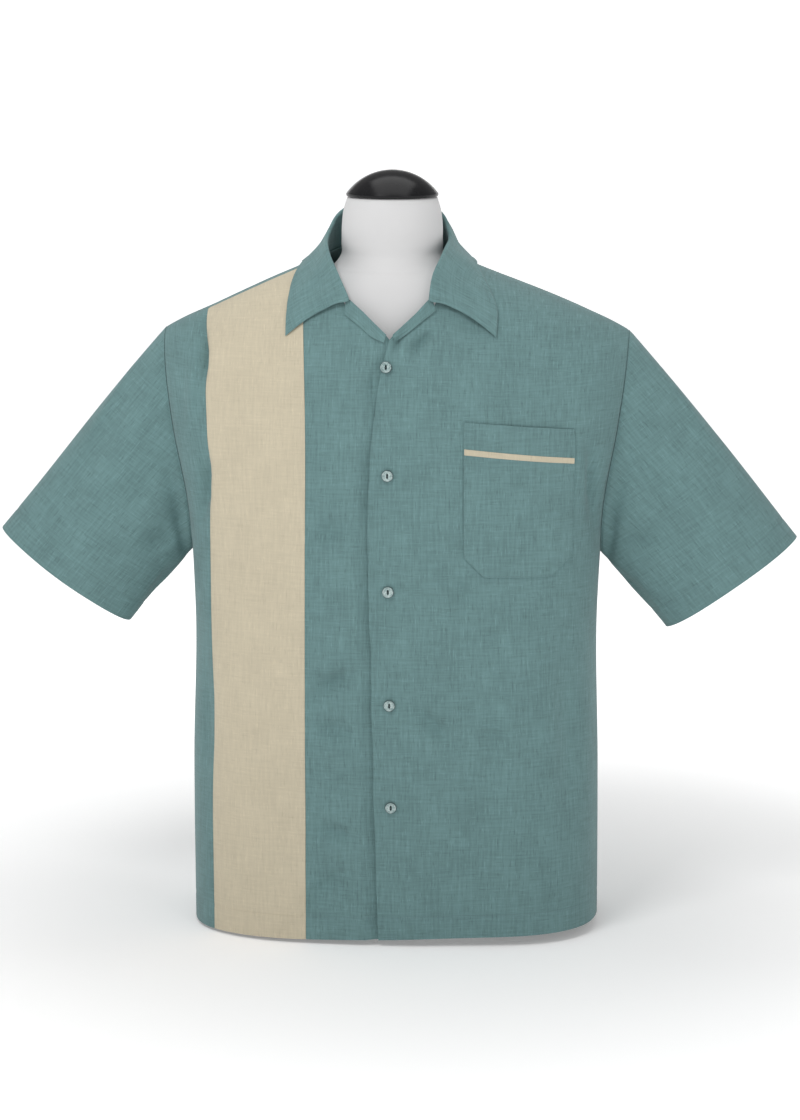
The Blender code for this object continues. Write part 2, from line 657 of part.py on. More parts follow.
def dress_form(white, black):
    heights = np.concatenate([np.linspace(0, 0.695, 14), np.linspace(0.695, 0.868, 14)[1:]])
    half_width, front, rear, squareness, aside = (
        values[:, None] for values in read_table(FORM_SECTIONS, FORM_COLUMNS, heights)
    )
    turn = np.linspace(0, 2 * math.pi, 36, endpoint=False)[None, :]
    depth = np.where(np.cos(turn) > 0, front, rear)
    radius = oval_radius(turn, half_width, depth, squareness)
    height = heights[:, None] + 0 * turn
    points = np.stack([aside + radius * np.sin(turn), -radius * np.cos(turn), height], axis=-1)
    capped("form_body", points, white)
    sphere = (CAP_HALF_WIDTH**2 + CAP_DOME**2) / (2 * CAP_DOME)
    dome = []
    for scale in np.cos(np.linspace(0, 1.5, 10)):
        drop = sphere - math.sqrt(sphere**2 - (scale * CAP_HALF_WIDTH) ** 2)
        dome.append((scale, CAP_BOTTOM + CAP_RIM + CAP_DOME - drop))
    rings = [(0.97, CAP_BOTTOM), (1.0, CAP_BOTTOM + 0.3 * CAP_RIM), *dome]
    cap = turned("form_cap", rings, 32, CAP_HALF_WIDTH, CAP_HALF_DEPTH, black)
    cap.location.x = CAP_ASIDE


def main():
    for old in list(bpy.data.objects):
        bpy.data.objects.remove(old, do_unlink=True)
    teal = finish("teal_linen", TEAL, 0.85)
    cream = finish("cream_linen", CREAM, 0.85)
    pearl = finish("pearl_button", PEARL_TEAL, 0.25)
    white = finish("form_cover", WHITE, 0.70)
    black = finish("cap_lacquer", BLACK, 0.15)
    fronts(teal, cream)
    back(teal)
    sleeves(teal)
    collar(teal)
    facings(teal)
    pocket(teal, cream)
    buttons(pearl)
    dress_form(white, black)


main()
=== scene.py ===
# %% [markdown]
# # A bowling shirt on a dress form
# The shirt hangs from the shoulders of a limbless form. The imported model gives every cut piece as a
# plain solid; this script repeats the same shapes finely, adds what the cloth does (soft folds, hems,
# seams, stitches) and gives each material its weave, sheen or gloss.

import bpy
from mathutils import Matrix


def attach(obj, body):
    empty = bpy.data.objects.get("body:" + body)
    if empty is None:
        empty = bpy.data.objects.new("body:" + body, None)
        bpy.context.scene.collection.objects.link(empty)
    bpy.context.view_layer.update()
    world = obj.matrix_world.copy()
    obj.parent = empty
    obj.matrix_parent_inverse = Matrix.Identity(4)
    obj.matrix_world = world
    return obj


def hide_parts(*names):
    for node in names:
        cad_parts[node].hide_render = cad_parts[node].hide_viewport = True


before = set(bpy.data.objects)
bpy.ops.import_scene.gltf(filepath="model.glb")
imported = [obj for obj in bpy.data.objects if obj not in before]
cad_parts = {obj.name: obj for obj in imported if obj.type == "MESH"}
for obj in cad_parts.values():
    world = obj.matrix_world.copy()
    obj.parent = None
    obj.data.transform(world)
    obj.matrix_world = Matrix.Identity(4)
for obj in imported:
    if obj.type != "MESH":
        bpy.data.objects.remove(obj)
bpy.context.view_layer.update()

# %% Python tools
import math

import bpy
import numpy as np
from mathutils import Vector

QUARTER = math.pi / 2
MIRROR = np.array([-1.0, 1.0, 1.0])

# %% [markdown]
# ## Camera
# A long lens a few steps back keeps the shirt's sides nearly parallel. It stands a little to the
# wearer's left and above the chest, and looks slightly down. A point on a sphere round the aim is
# enough to place it: two angles and a distance.

# %% Camera
AIM = Vector((0.004, 0.0, 0.436))
CAMERA_DISTANCE = 3.5
CAMERA_TURN = math.radians(4)
CAMERA_RISE = math.radians(11)
LENS_MM = 94.18

away = Vector(
    (
        math.sin(CAMERA_TURN) * math.cos(CAMERA_RISE),
        -math.cos(CAMERA_TURN) * math.cos(CAMERA_RISE),
        math.sin(CAMERA_RISE),
    )
)
camera = bpy.data.objects.new("camera", bpy.data.cameras.new("camera"))
bpy.context.scene.collection.objects.link(camera)
camera.location = AIM + CAMERA_DISTANCE * away
camera.rotation_euler = away.to_track_quat("Z", "Y").to_euler()
camera.data.lens = LENS_MM
bpy.context.scene.camera = camera
bpy.context.scene.view_settings.view_transform = "Standard"
print("camera at", [round(x, 3) for x in camera.location])

# %% [markdown]
# ## Light
# A studio for clothes has a soft key light above and in front, a weaker one at the side, a wide one
# overhead, and white all round. Area lamps shade the cloth with no hard shadow; the world fills in.

# %% Studio light
LAMPS = (
    # name, position, width, watts
    ("key", (-0.9, -1.7, 2.9), 1.0, 31.0),
    ("side", (1.7, -2.2, 2.3), 1.0, 6.5),
    ("top", (0.0, 0.2, 2.8), 2.0, 21.0),
)


def lamp(name, place, width, watts):
    """Square area lamp that looks at the middle of the shirt."""
    light = bpy.data.lights.new(name, "AREA")
    light.size = width
    light.energy = watts
    holder = bpy.data.objects.new(name, light)
    holder.location = place
    holder.rotation_euler = (Vector(place) - AIM).to_track_quat("Z", "Y").to_euler()
    bpy.context.scene.collection.objects.link(holder)


for row in LAMPS:
    lamp(*row)
world = bpy.data.worlds.new("studio")
world.use_nodes = True
world.node_tree.nodes["Background"].inputs["Color"].default_value = (1.0, 1.0, 1.0, 1.0)
world.node_tree.nodes["Background"].inputs["Strength"].default_value = 0.28
bpy.context.scene.world = world
print("lamps", len(LAMPS))

# %% [markdown]
# ## Shader maths
# Node trees are easier to read as formulas. This small class wraps one socket; Python's own signs on
# it add Math nodes. Every other node comes from one method, which takes the node's type, its
# settings, and the values or links of its sockets.


# %% Shader maths
def operator(operation, flipped=False):
    """What Python calls for a sign between a Value and another: it adds one Math node."""

    def apply(value, other):
        return value.math(operation, other, flipped=flipped)

    return apply


class Value:
    """A number that changes over a surface. The signs + - * add Math nodes to its tree."""

    def __init__(self, tree, socket):
        self.tree = tree
        self.socket = socket

    def math(self, operation, *others, flipped=False):
        node = self.tree.nodes.new("ShaderNodeMath")
        node.operation = operation
        operands = (self, *others)[::-1] if flipped else (self, *others)
        for slot, operand in zip(node.inputs, operands):
            connect(self.tree, slot, operand)
        return Value(self.tree, node.outputs[0])

    __add__ = __radd__ = operator("ADD")
    __mul__ = __rmul__ = operator("MULTIPLY")
    __sub__ = operator("SUBTRACT")
    __rsub__ = operator("SUBTRACT", flipped=True)

    def between(self, low, high):
        """0 below low, 1 above high, and smooth in between."""
        node = self.tree.nodes.new("ShaderNodeMapRange")
        node.interpolation_type = "SMOOTHSTEP"
        connect(self.tree, node.inputs["Value"], self)
        node.inputs["From Min"].default_value = low
        node.inputs["From Max"].default_value = high
        return Value(self.tree, node.outputs["Result"])


def connect(tree, slot, given):
    """Link a Value or a socket to a slot, or set a plain number there."""
    if isinstance(given, Value):
        given = given.socket
    if isinstance(given, bpy.types.NodeSocket):
        tree.links.new(given, slot)
    else:
        slot.default_value = given


class Finish:
    """A Principled material with its constants set, ready for nodes."""

    def __init__(self, name, **constants):
        self.material = bpy.data.materials.new(name)
        self.material.use_nodes = True
        self.tree = self.material.node_tree
        self.shader = self.tree.nodes["Principled BSDF"]
        for socket, number in constants.items():
            self.shader.inputs[socket.replace("_", " ")].default_value = number

    def node(self, kind, settings=None, output=0, **slots):
        """One node of this kind. Underscores in a slot's name stand for spaces."""
        node = self.tree.nodes.new("ShaderNode" + kind)
        for setting, choice in (settings or {}).items():
            setattr(node, setting, choice)
        for slot, given in slots.items():
            slot = int(slot[1:]) if slot[0] == "i" and slot[1:].isdigit() else slot.replace("_", " ")
            connect(self.tree, node.inputs[slot], given)
        return Value(self.tree, node.outputs[output])

    def scaled(self, place, *factors):
        """A place times one number, or times one for each axis."""
        factors = factors if len(factors) == 3 else factors * 3
        return self.node("VectorMath", {"operation": "MULTIPLY"}, i0=place, i1=factors)

    def noise(self, place, *grain, detail=2.0, distortion=0.0):
        """Smooth noise, about 0 to 1, whose grain is the number of its waves in a metre."""
        place = self.scaled(place, *grain)
        return self.node(
            "TexNoise", output="Fac", Vector=place, Scale=1.0, Detail=detail, Distortion=distortion
        )

    def mix(self, factor, first, second):
        """Colour between two colours."""
        return self.node("Mix", {"data_type": "RGBA"}, output=2, i0=factor, i6=first, i7=second)

    def set(self, **slots):
        for slot, given in slots.items():
            connect(self.tree, self.shader.inputs[slot.replace("_", " ")], given)

    def bump(self, height, distance, strength=1.0):
        """Surface relief: height times distance, in metres."""
        normal = self.node("Bump", Height=height, Distance=distance, Strength=strength, output="Normal")
        self.set(Normal=normal)


def colour(red, green, blue, factor=1.0):
    """Colour socket value from linear red, green and blue."""
    return (red * factor, green * factor, blue * factor, 1.0)


# %% [markdown]
# ## Linen cloth
# The shirt is a plain weave of slubby yarn: here and there a thread is thicker and lighter, and shows
# as a short streak along the warp or the weft. Each piece carries a UV map in metres along its own
# grain, so the streaks turn with the cut. Stretched noises give short and long streaks both ways, a
# rounder one the faint clouds of the dye, and crossed sines the threads, which are only relief.

# %% Linen
YARN_PITCH = 0.00075


def linen(name, base, streak=1.0):
    """Slub linen: colour times (1 + warp streaks + weft streaks + cloud), with a woven relief."""
    cloth = Finish(name, Roughness=0.88, Sheen_Weight=0.12, Sheen_Roughness=0.5, Specular_IOR_Level=0.25)
    grain = cloth.node("UVMap", {"uv_map": "cloth"}, output="UV")
    warp = cloth.noise(grain, 700.0, 75.0, 1.0, detail=1.5)
    weft = cloth.noise(grain, 70.0, 780.0, 1.0, detail=1.5)
    long_warp = cloth.noise(grain, 380.0, 26.0, 1.0, detail=1.0)
    long_weft = cloth.noise(grain, 30.0, 380.0, 1.0, detail=1.0)
    cloud = cloth.noise(grain, 26.0, 22.0, 1.0, detail=3.0)
    slubs = warp.between(0.60, 0.74) + weft.between(0.61, 0.75) * 0.8
    thin = warp.between(0.40, 0.26) + weft.between(0.38, 0.24) * 0.8
    long_streaks = (long_warp - 0.5) * 0.8 + (long_weft - 0.5) * 0.6
    shade = slubs * 0.85 - thin * 0.85 + long_streaks * 1.9 + (cloud - 0.5) * 1.1
    factor = (shade * streak + 1.0) * 0.5
    cloth.set(Base_Color=cloth.mix(factor, colour(*base, factor=0.74), colour(*base, factor=1.26)))
    cloth.set(Roughness=0.90 - slubs * 0.05)
    turns = 2 * math.pi / YARN_PITCH
    parts = cloth.node("SeparateXYZ", Vector=cloth.scaled(grain, turns, turns, 1.0))
    across = parts.math("SINE")
    along = Value(cloth.tree, parts.socket.node.outputs["Y"]).math("SINE")
    cloth.bump(across * along * 0.5 + slubs * 0.8, 0.00009, 0.6)
    return cloth.material


TEAL = (0.126, 0.222, 0.224)
CREAM = (0.522, 0.466, 0.349)
teal_linen = linen("teal_linen", TEAL)
cream_linen = linen("cream_linen", CREAM, streak=0.45)


def thread(name, base):
    """Polyester sewing thread: smooth, a little shiny, twisted."""
    yarn = Finish(name, Roughness=0.6, Sheen_Weight=0.1)
    place = yarn.node("TexCoord", output="Object")
    twist = yarn.noise(place, 1500.0)
    yarn.set(Base_Color=yarn.mix(twist, colour(*base, factor=0.85), colour(*base, factor=1.12)))
    return yarn.material


teal_thread = thread("teal_thread", (0.110, 0.190, 0.193))
dark_thread = thread("dark_thread", (0.020, 0.050, 0.052))
print("cloths", teal_linen.name, cream_linen.name)

# %% [markdown]
# ## Pearly buttons, white form, black cap
# The buttons are cast polyester: swirled light and dark like shell, under a clear polish. The form's
# cover is a matte white shell with the faintest orange peel. Its neck cap is turned wood under black
# lacquer, so it mirrors the lamps.

# %% Hard finishes
def pearl_finish():
    """Shell-like swirl between a light and a dark tone, with painted shade round the rim and in the
    holes. The map called cloth gives the place on the button's face, as shares of its radius."""
    pearl = Finish("pearl_button", Roughness=0.18, Coat_Weight=0.5, Coat_Roughness=0.08)
    place = pearl.node("TexCoord", output="Object")
    drift = pearl.noise(place, 220.0)
    swirl = pearl.noise(place, 420.0, 160.0, 420.0, detail=3.0, distortion=1.5)
    mask = (swirl * 0.7 + drift * 0.3).between(0.36, 0.64)
    swirled = pearl.mix(mask, (0.16, 0.25, 0.25, 1.0), (0.42, 0.52, 0.51, 1.0))
    face = pearl.node("UVMap", {"uv_map": "cloth"}, output="UV")
    out = pearl.node("VectorMath", {"operation": "LENGTH"}, output="Value", i0=face)
    upright = pearl.scaled(face, 1.0, 0.42, 1.0)
    slot = pearl.node("VectorMath", {"operation": "LENGTH"}, output="Value", i0=upright)
    # painted shade: dark round the rim and in the thread slot
    shadow = out.between(0.80, 0.96) * 0.8 + slot.between(0.24, 0.15)
    pearl.set(Base_Color=pearl.mix(shadow, swirled, (0.012, 0.034, 0.036, 1.0)))
    return pearl.material


def form_finish():
    """Moulded shell: near-white, matte, with a fine grain."""
    shell = Finish("form_cover", Roughness=0.62, Specular_IOR_Level=0.35)
    place = shell.node("TexCoord", output="Object")
    tone = shell.noise(place, 18.0)
    shell.set(Base_Color=shell.mix(tone, (0.585, 0.583, 0.585, 1.0), (0.620, 0.618, 0.620, 1.0)))
    grain = shell.noise(place, 900.0)
    shell.bump(grain, 0.00003, 0.5)
    return shell.material


def lacquer_finish():
    """Black lacquer: dark, glossy, with a trace of dust that breaks the gloss."""
    lacquer = Finish("cap_lacquer", Specular_IOR_Level=0.22)
    place = lacquer.node("TexCoord", output="Object")
    dust = lacquer.noise(place, 160.0, detail=4.0)
    lacquer.set(Base_Color=lacquer.mix(dust, (0.006, 0.006, 0.007, 1.0), (0.012, 0.012, 0.013, 1.0)))
    lacquer.set(Roughness=dust * 0.10 + 0.17)
    return lacquer.material


pearl_button = pearl_finish()
form_cover = form_finish()
cap_lacquer = lacquer_finish()

# %% [markdown]
# ## Surfaces from grids
# Every piece is a grid of points worked out at once. A shell has an outer and an inner grid, joined
# round the rim, so the cloth has a real thickness. Its UV map is in metres, along the row and up the
# column.


# %% Meshes from arrays
def make_mesh(name, points, faces, material, corner_uv=None, sharp=None):
    """Object from an (n, 3) array and a list of arrays of faces, each (m, corners)."""
    mesh = bpy.data.meshes.new(name)
    sizes = np.concatenate([np.full(len(block), block.shape[1]) for block in faces])
    corners = np.concatenate([block.ravel() for block in faces]).astype(np.int32)
    mesh.vertices.add(len(points))
    mesh.vertices.foreach_set("co", np.asarray(points, np.float32).ravel())
    mesh.loops.add(len(corners))
    mesh.loops.foreach_set("vertex_index", corners)
    mesh.polygons.add(len(sizes))
    mesh.polygons.foreach_set("loop_start", (np.cumsum(sizes) - sizes).astype(np.int32))
    mesh.update(calc_edges=True)
    if corner_uv is not None:
        layer = mesh.uv_layers.new(name="cloth")
        layer.data.foreach_set("uv", np.asarray(corner_uv, np.float32).ravel())
    mesh.materials.append(material)
    mesh.shade_smooth()
    if sharp is not None:
        mesh.set_sharp_from_angle(angle=math.radians(sharp))
    mesh.validate()
    piece = bpy.data.objects.new(name, mesh)
    bpy.context.scene.collection.objects.link(piece)
    return piece


def quads_of(grid):
    """Four-cornered faces of a grid of point numbers."""
    corners = (grid[:-1, :-1], grid[:-1, 1:], grid[1:, 1:], grid[1:, :-1])
    return np.stack([corner.ravel() for corner in corners], axis=1)


def steps(points, axis):
    """Distance walked along one axis of a grid, from its start."""
    gaps = np.linalg.norm(np.diff(points, axis=axis), axis=-1)
    return np.insert(np.cumsum(gaps, axis=axis), 0, 0.0, axis=axis)


def cloth_uv(points):
    """(rows, columns, 2) in metres: along each row, and up each column."""
    return np.stack([steps(points, 1), steps(points, 0)], axis=-1)


def shell(name, outer, inner, material, uv, tube=False):
    """Cloth between two grids, closed round its rim. A tube's last column joins its first."""
    rows, columns = outer.shape[:2]
    count = rows * columns
    grid = np.arange(count).reshape(rows, columns)
    if tube:
        grid = np.hstack([grid, grid[:, :1]])
        loops = [grid[0], grid[-1, ::-1]]
    else:
        around = grid[0, :-1], grid[:-1, -1], grid[-1, :0:-1], grid[:0:-1, 0], grid[:1, 0]
        loops = [np.concatenate(around)]
    quads = quads_of(grid)
    rims = [
        np.stack([loop[1:], loop[:-1], loop[:-1] + count, loop[1:] + count], axis=1)
        for loop in loops
    ]
    places = np.arange(uv.shape[0] * uv.shape[1]).reshape(uv.shape[:2])
    face_uv = uv.reshape(-1, 2)[quads_of(places)]
    point_uv = np.tile(uv[:, :columns].reshape(-1, 2), (2, 1))
    rim_uv = [point_uv[rim % count] for rim in rims]
    corner_uv = np.concatenate([block.reshape(-1, 2) for block in (face_uv, face_uv[:, ::-1], *rim_uv)])
    points = np.concatenate([outer.reshape(-1, 3), inner.reshape(-1, 3)])
    return make_mesh(name, points, [quads, quads[:, ::-1] + count, *rims], material, corner_uv, sharp=55)


def closed_rings(name, rings, material, sharp=None, face=None):
    """Closed body from a grid of rings, its two ends drawn together in a point."""
    count, around = rings.shape[:2]
    grid = np.arange(count * around).reshape(count, around)
    wide = np.hstack([grid, grid[:, :1]])
    low, high = count * around, count * around + 1
    fans = [
        np.stack([wide[0, 1:], wide[0, :-1], np.full(around, low)], axis=1),
        np.stack([wide[-1, :-1], wide[-1, 1:], np.full(around, high)], axis=1),
    ]
    points = np.concatenate([rings.reshape(-1, 3), rings[0].mean(0)[None], rings[-1].mean(0)[None]])
    faces = [quads_of(wide), *fans]
    corner_uv = None
    if face is not None:
        point_uv = np.concatenate([face.reshape(-1, 2), np.full((1, 2), 0.5), np.zeros((1, 2))])
        corner_uv = np.concatenate([point_uv[block].reshape(-1, 2) for block in faces])
    return make_mesh(name, points, faces, material, corner_uv, sharp)


# %% [markdown]
# ## The body of the shirt
# All the panels of the body lie on one surface. Its sections are squared ovals from the hem to the
# chest, and above that each vertical line arches over to the top of the shoulder. Two numbers name a
# point: turn, the angle from the centre front, and rise, 0 at the front hem, 1 at the chest, 2 on the
# shoulder, 3 and 4 down the back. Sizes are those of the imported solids.


# %% Curves through tables
def ring_angles(count):
    return np.linspace(0, 2 * math.pi, count, endpoint=False)


def bell(distance, width):
    """1 at distance 0, and down to about a third at one width."""
    return np.exp(-((distance / width) ** 2))


def ease(t):
    """Smooth step from 0 at t = 0 to 1 at t = 1."""
    t = np.clip(t, 0, 1)
    return t**2 * (3 - 2 * t)


def hermite(t, start, leave, end, arrive):
    """Run from start to end that leaves and arrives in the given directions."""
    near = (1 + 2 * t) * (1 - t) ** 2 * start + t * (1 - t) ** 2 * leave
    return near + t**2 * (3 - 2 * t) * end + t**2 * (t - 1) * arrive


def smooth(value, places, heights):
    """Hermite curve through the places, its slope at each the mean of its neighbours' slopes."""
    places = np.asarray(places, float)
    heights = np.asarray(heights, float)
    slopes = np.gradient(heights, places)
    piece = np.clip(np.searchsorted(places, value) - 1, 0, len(places) - 2)
    width = places[piece + 1] - places[piece]
    t = np.clip((value - places[piece]) / width, 0, 1)
    after = piece + 1
    return hermite(t, heights[piece], width * slopes[piece], heights[after], width * slopes[after])


def read_table(rows, at):
    """The other columns of a table at the given values of its first column."""
    rows = np.array(rows)
    return [smooth(at, rows[:, 0], rows[:, i]) for i in range(1, rows.shape[1])]


def line_at(points, at):
    return smooth(at, *zip(*points))


def unit(vectors):
    return vectors / np.maximum(np.linalg.norm(vectors, axis=-1, keepdims=True), 1e-12)


def outward(surface, u, v):
    """Unit normal of surface(u, v), on the side of du x dv."""
    step = 1e-4
    across = surface(u + step, v) - surface(u - step, v)
    along = surface(u, v + step) - surface(u, v - step)
    return unit(np.cross(across, along))


def oval_radius(turn, half_width, depth, squareness):
    """Distance from the middle to a squared oval, in the direction turn (0 is straight ahead)."""
    ahead = np.abs(np.cos(turn)) / depth
    aside = np.abs(np.sin(turn)) / half_width
    return (ahead**squareness + aside**squareness) ** (-1 / squareness)


# %% Sizes of the body
# height, half width, front, back, squareness
BODY_SECTIONS = (
    (0.008, 0.2435, 0.1390, 0.1220, 3.1),
    (0.200, 0.2425, 0.1420, 0.1240, 3.0),
    (0.400, 0.2400, 0.1410, 0.1270, 2.8),
    (0.500, 0.2470, 0.1380, 0.1300, 2.6),
    (0.600, 0.2680, 0.1350, 0.1320, 2.5),
    (0.700, 0.2840, 0.1320, 0.1320, 2.4),
    (0.860, 0.2840, 0.1320, 0.1320, 2.4),
)
# distance from the middle, height of the shoulder line
RIDGE = (
    (-0.040, 0.8260),
    (0.000, 0.8420),
    (0.040, 0.8260),
    (0.074, 0.8010),
    (0.103, 0.7885),
    (0.150, 0.7695),
    (0.190, 0.7525),
    (0.220, 0.7390),
    (0.254, 0.7235),
    (0.275, 0.7120),
    (0.300, 0.6960),
)
NECK_ASIDE = ((0.742, 0.0), (0.755, -0.0020), (0.780, -0.0070), (0.800, -0.0090), (0.870, -0.0090))
HEM_HEIGHT = 0.008
HEM_LIFT = 0.0050
CHEST_HEIGHT = 0.580
UNDERARM_HEIGHT = 0.450
FRONT_ARCH = 2.0
BACK_ARCH = 2.6
UNDERARM_RISE = (UNDERARM_HEIGHT - HEM_HEIGHT) / (CHEST_HEIGHT - HEM_HEIGHT)
SHOULDER_SEAM = 1.92
ARMHOLE_SET = math.radians(10.3)
CLOTH = 0.0010
SEAM_GAP = 0.0003
LAY_ON = 0.0008
DIP_WIDTH = 0.0022
SEAM_DIP = 0.0005
HEM_DIP = 0.00045
HEM_FOLD = 0.0009
SHARP_ANGLE = 50


# %% The body surface
def top_distance(turn):
    """How far from the middle the line of this turn meets the top of the shoulder."""
    half_width, front, _, squareness = read_table(BODY_SECTIONS, BODY_SECTIONS[-1][0])
    return oval_radius(turn, half_width, front, squareness) * np.abs(np.sin(turn))


def torso(turn, rise):
    """Point of the worn body: squared ovals up to the chest line, then arches to the shoulder."""
    turn, rise = np.broadcast_arrays(np.asarray(turn, float), np.asarray(rise, float))
    behind = rise > 2
    level = np.where(behind, 4 - rise, rise)
    lean = np.clip(level - 1, 0, 1) * QUARTER
    arch = np.where(behind, BACK_ARCH, FRONT_ARCH)
    size = (np.cos(lean) ** arch + np.sin(lean) ** arch) ** (-1 / arch)
    ridge = line_at(RIDGE, top_distance(turn))
    height = HEM_HEIGHT + (CHEST_HEIGHT - HEM_HEIGHT) * np.clip(level, 0, 1)
    height = height + HEM_LIFT * np.sin(turn) * np.clip(1 - 2 * level, 0, 1) ** 2
    height = height + (ridge - CHEST_HEIGHT) * size * np.sin(lean)
    half_width, front, back, squareness = read_table(BODY_SECTIONS, height)
    radius = oval_radius(turn, half_width, np.where(behind, back, front), squareness)
    side = np.where(behind, 1.0, -1.0)
    y = side * radius * np.cos(turn) * size * np.cos(lean)
    return np.stack([radius * np.sin(turn) + line_at(NECK_ASIDE, height), y, height], axis=-1)


def locate(x, z):
    """(turn, rise) of the point of the front at distance x from the middle and height z."""
    x = x - line_at(NECK_ASIDE, z)
    half_width, front, _, squareness = read_table(BODY_SECTIONS, z)
    depth = front * (1 - (np.abs(x) / half_width) ** squareness) ** (1 / squareness)
    turn = np.arctan2(x, depth)
    ridge = line_at(RIDGE, top_distance(turn))
    up = np.clip((z - CHEST_HEIGHT) / (ridge - CHEST_HEIGHT), 0, 1)
    lean = np.arctan2(up, (1 - up**FRONT_ARCH) ** (1 / FRONT_ARCH))
    below = np.clip((z - HEM_HEIGHT) / (CHEST_HEIGHT - HEM_HEIGHT), 0, 1)
    return turn, below + lean / QUARTER


def armhole(angle):
    """(turn, rise) of the armhole: angle 0 is the underarm, pi/2 the front, pi the shoulder."""
    angle = np.mod(angle, 2 * math.pi)
    behind = angle > math.pi
    angle = np.where(behind, 2 * math.pi - angle, angle)
    low = 1 - (1 - UNDERARM_RISE) * np.cos(np.minimum(angle, QUARTER))
    rise = low + np.maximum(angle - QUARTER, 0) / QUARTER
    turn = QUARTER - ARMHOLE_SET * np.sin(np.minimum(angle, QUARTER))
    return turn, np.where(behind, 4 - rise, rise)


print("underarm at rise", round(UNDERARM_RISE, 3))

# %% [markdown]
# ## What the cloth does
# Linen on a form hangs nearly smooth, with a few soft troughs and ridges: dimples beside the button
# placket, a fold beside each armhole, slack above the hem. Each one is a row in a table: a line on the
# cloth, a half width and a depth. Its section is a bell curve, and it fades towards both ends.

# %% Folds
MILLIMETRE = 0.001
# millimetres: x and z of one end and of the other, half width, depth (minus is a trough)
FRONT_FOLDS = (
    (-98, 290, -22, 336, 9.5, -8.64),
    (-96, 320, -30, 360, 13, 4.05),
    (-100, 264, -22, 246, 10, -7.83),
    (-90, 232, -34, 222, 11, 3.51),
    (-100, 144, -26, 116, 10.5, -8.37),
    (-98, 476, -24, 500, 12.5, -7.56),
    (-88, 512, -44, 520, 12, 2.7),
    (-84, 410, -34, 396, 10, -3.51),
    (-80, 190, -34, 178, 12, -3.51),
    (-100, 44, -28, 96, 11, -7.02),
    (-150, 520, -165, 330, 26, -4.59),
    (-128, 250, -140, 60, 22, -3.78),
    (-217, 600, -227, 480, 7, -10.8),
    (-203, 600, -214, 500, 10, 4.86),
    (-223, 735, -221.5, 640, 4.5, -8.775),
    (-236, 700, -238, 580, 8, 4.05),
    (-225, 400, -228, 120, 11, -5.4),
    (46, 462, 74, 362, 8.5, 4.59),
    (66, 470, 92, 380, 10, -4.05),
    (14, 300, 78, 234, 9, -7.56),
    (40, 304, 86, 254, 10, 4.05),
    (133, 350, 136, 200, 11, 3.78),
    (112, 330, 114, 150, 12, -3.78),
    (190, 420, 205, 90, 16, -6.75),
    (30, 110, 120, 60, 15, -3.78),
    (60, 600, 72, 470, 13, 2.7),
    (223, 610, 233, 480, 7, -10.53),
    (208, 620, 219, 510, 10, 4.59),
    (150, 700, 222, 640, 16, -3.78),
    (-24, 688, -21, 645, 3.5, -4.59),
    (4, 694, 20, 728, 3.5, -5.4),
    (13, 688, 34, 730, 4, 2.97),
    (22, 690, 56, 726, 5.5, -7.425),
    (34, 676, 82, 726, 8, 3.24),
    (60, 745, 110, 690, 15, -4.59),
    (-60, 745, -36, 660, 13, -4.05),
)
BACK_FOLDS = (
    (-200, 620, -222, 490, 10, -6.48),
    (205, 630, 224, 500, 9.5, -5.94),
    (-140, 660, -110, 300, 24, -4.86),
    (-40, 560, -30, 160, 26, 4.05),
    (55, 640, 48, 220, 28, -4.32),
    (145, 600, 130, 180, 23, 4.32),
    (175, 420, 195, 80, 16, -4.05),
    (-180, 380, -190, 60, 17, 3.51),
    (-60, 735, 40, 728, 13, -2.97),
    (90, 745, 180, 690, 16, -3.24),
    (-100, 740, -185, 690, 15, -2.97),
    (20, 130, 90, 90, 15, -2.43),
    (-110, 150, -60, 100, 14, -2.43),
)


def end_fade(share):
    """0 at both ends of a fold, 1 in its middle."""
    return np.clip(1.25 - np.abs(2 * share - 1) * 1.25, 0, 1) ** 1.5


def folds(a, b, table):
    """Sum over the table of depth x bell(distance from the line, half width) x fade at the ends."""
    total = np.zeros(np.broadcast(a, b).shape)
    for a1, b1, a2, b2, half_width, depth in np.array(table) * MILLIMETRE:
        run_a, run_b = a2 - a1, b2 - b1
        length = math.hypot(run_a, run_b)
        share = ((a - a1) * run_a + (b - b1) * run_b) / length**2
        aside = ((a - a1) * run_b - (b - b1) * run_a) / length
        aside = aside + half_width * 0.7 * np.sin(math.pi * share)
        total = total + depth * bell(aside, half_width) * end_fade(share)
    return total


def sway(x, z, seed):
    """Slack of hanging cloth: three long waves of uneven pitch that grow towards the hem."""
    slack = np.clip(1 - z / CHEST_HEIGHT, 0, 1)
    waves = np.sin(23 * x + 2.1 * seed + 1.5 * z) + 0.6 * np.sin(41 * x - 3.2 * z + seed)
    waves = waves + 0.45 * np.sin(12 * z - 9 * x + 3 * seed)
    return 0.0011 * waves * (0.25 + slack)


def drape(turn, rise):
    """How far the cloth stands off the plain body surface, in metres."""
    x, _, z = np.moveaxis(torso(turn, rise), -1, 0)
    behind = rise > 2
    front = folds(x, z, FRONT_FOLDS) + sway(x, z, 1.0)
    back = folds(x, z, BACK_FOLDS) + sway(x, z, 2.6)
    blend = np.clip(np.abs(rise - 2) / 0.15, 0, 1)
    seam_side = np.clip((QUARTER - np.abs(turn)) / 0.10, 0, 1)
    return np.where(behind, back, front) * blend * seam_side


def groove(distance, width, depth):
    """Bell-shaped groove at distance 0."""
    return -depth * bell(distance, width)


print("folds", len(FRONT_FOLDS) + len(BACK_FOLDS))

# %% [markdown]
# ## Cutting lines and the cloth between them
# A panel is the part of the body surface between two cutting lines. Its rows follow the armhole above
# the underarm, so a panel and the sleeve share every point of their seam. Cloth is one millimetre
# thick, doubled where the hem is turned up, and dips a little at each seam where it is drawn in.

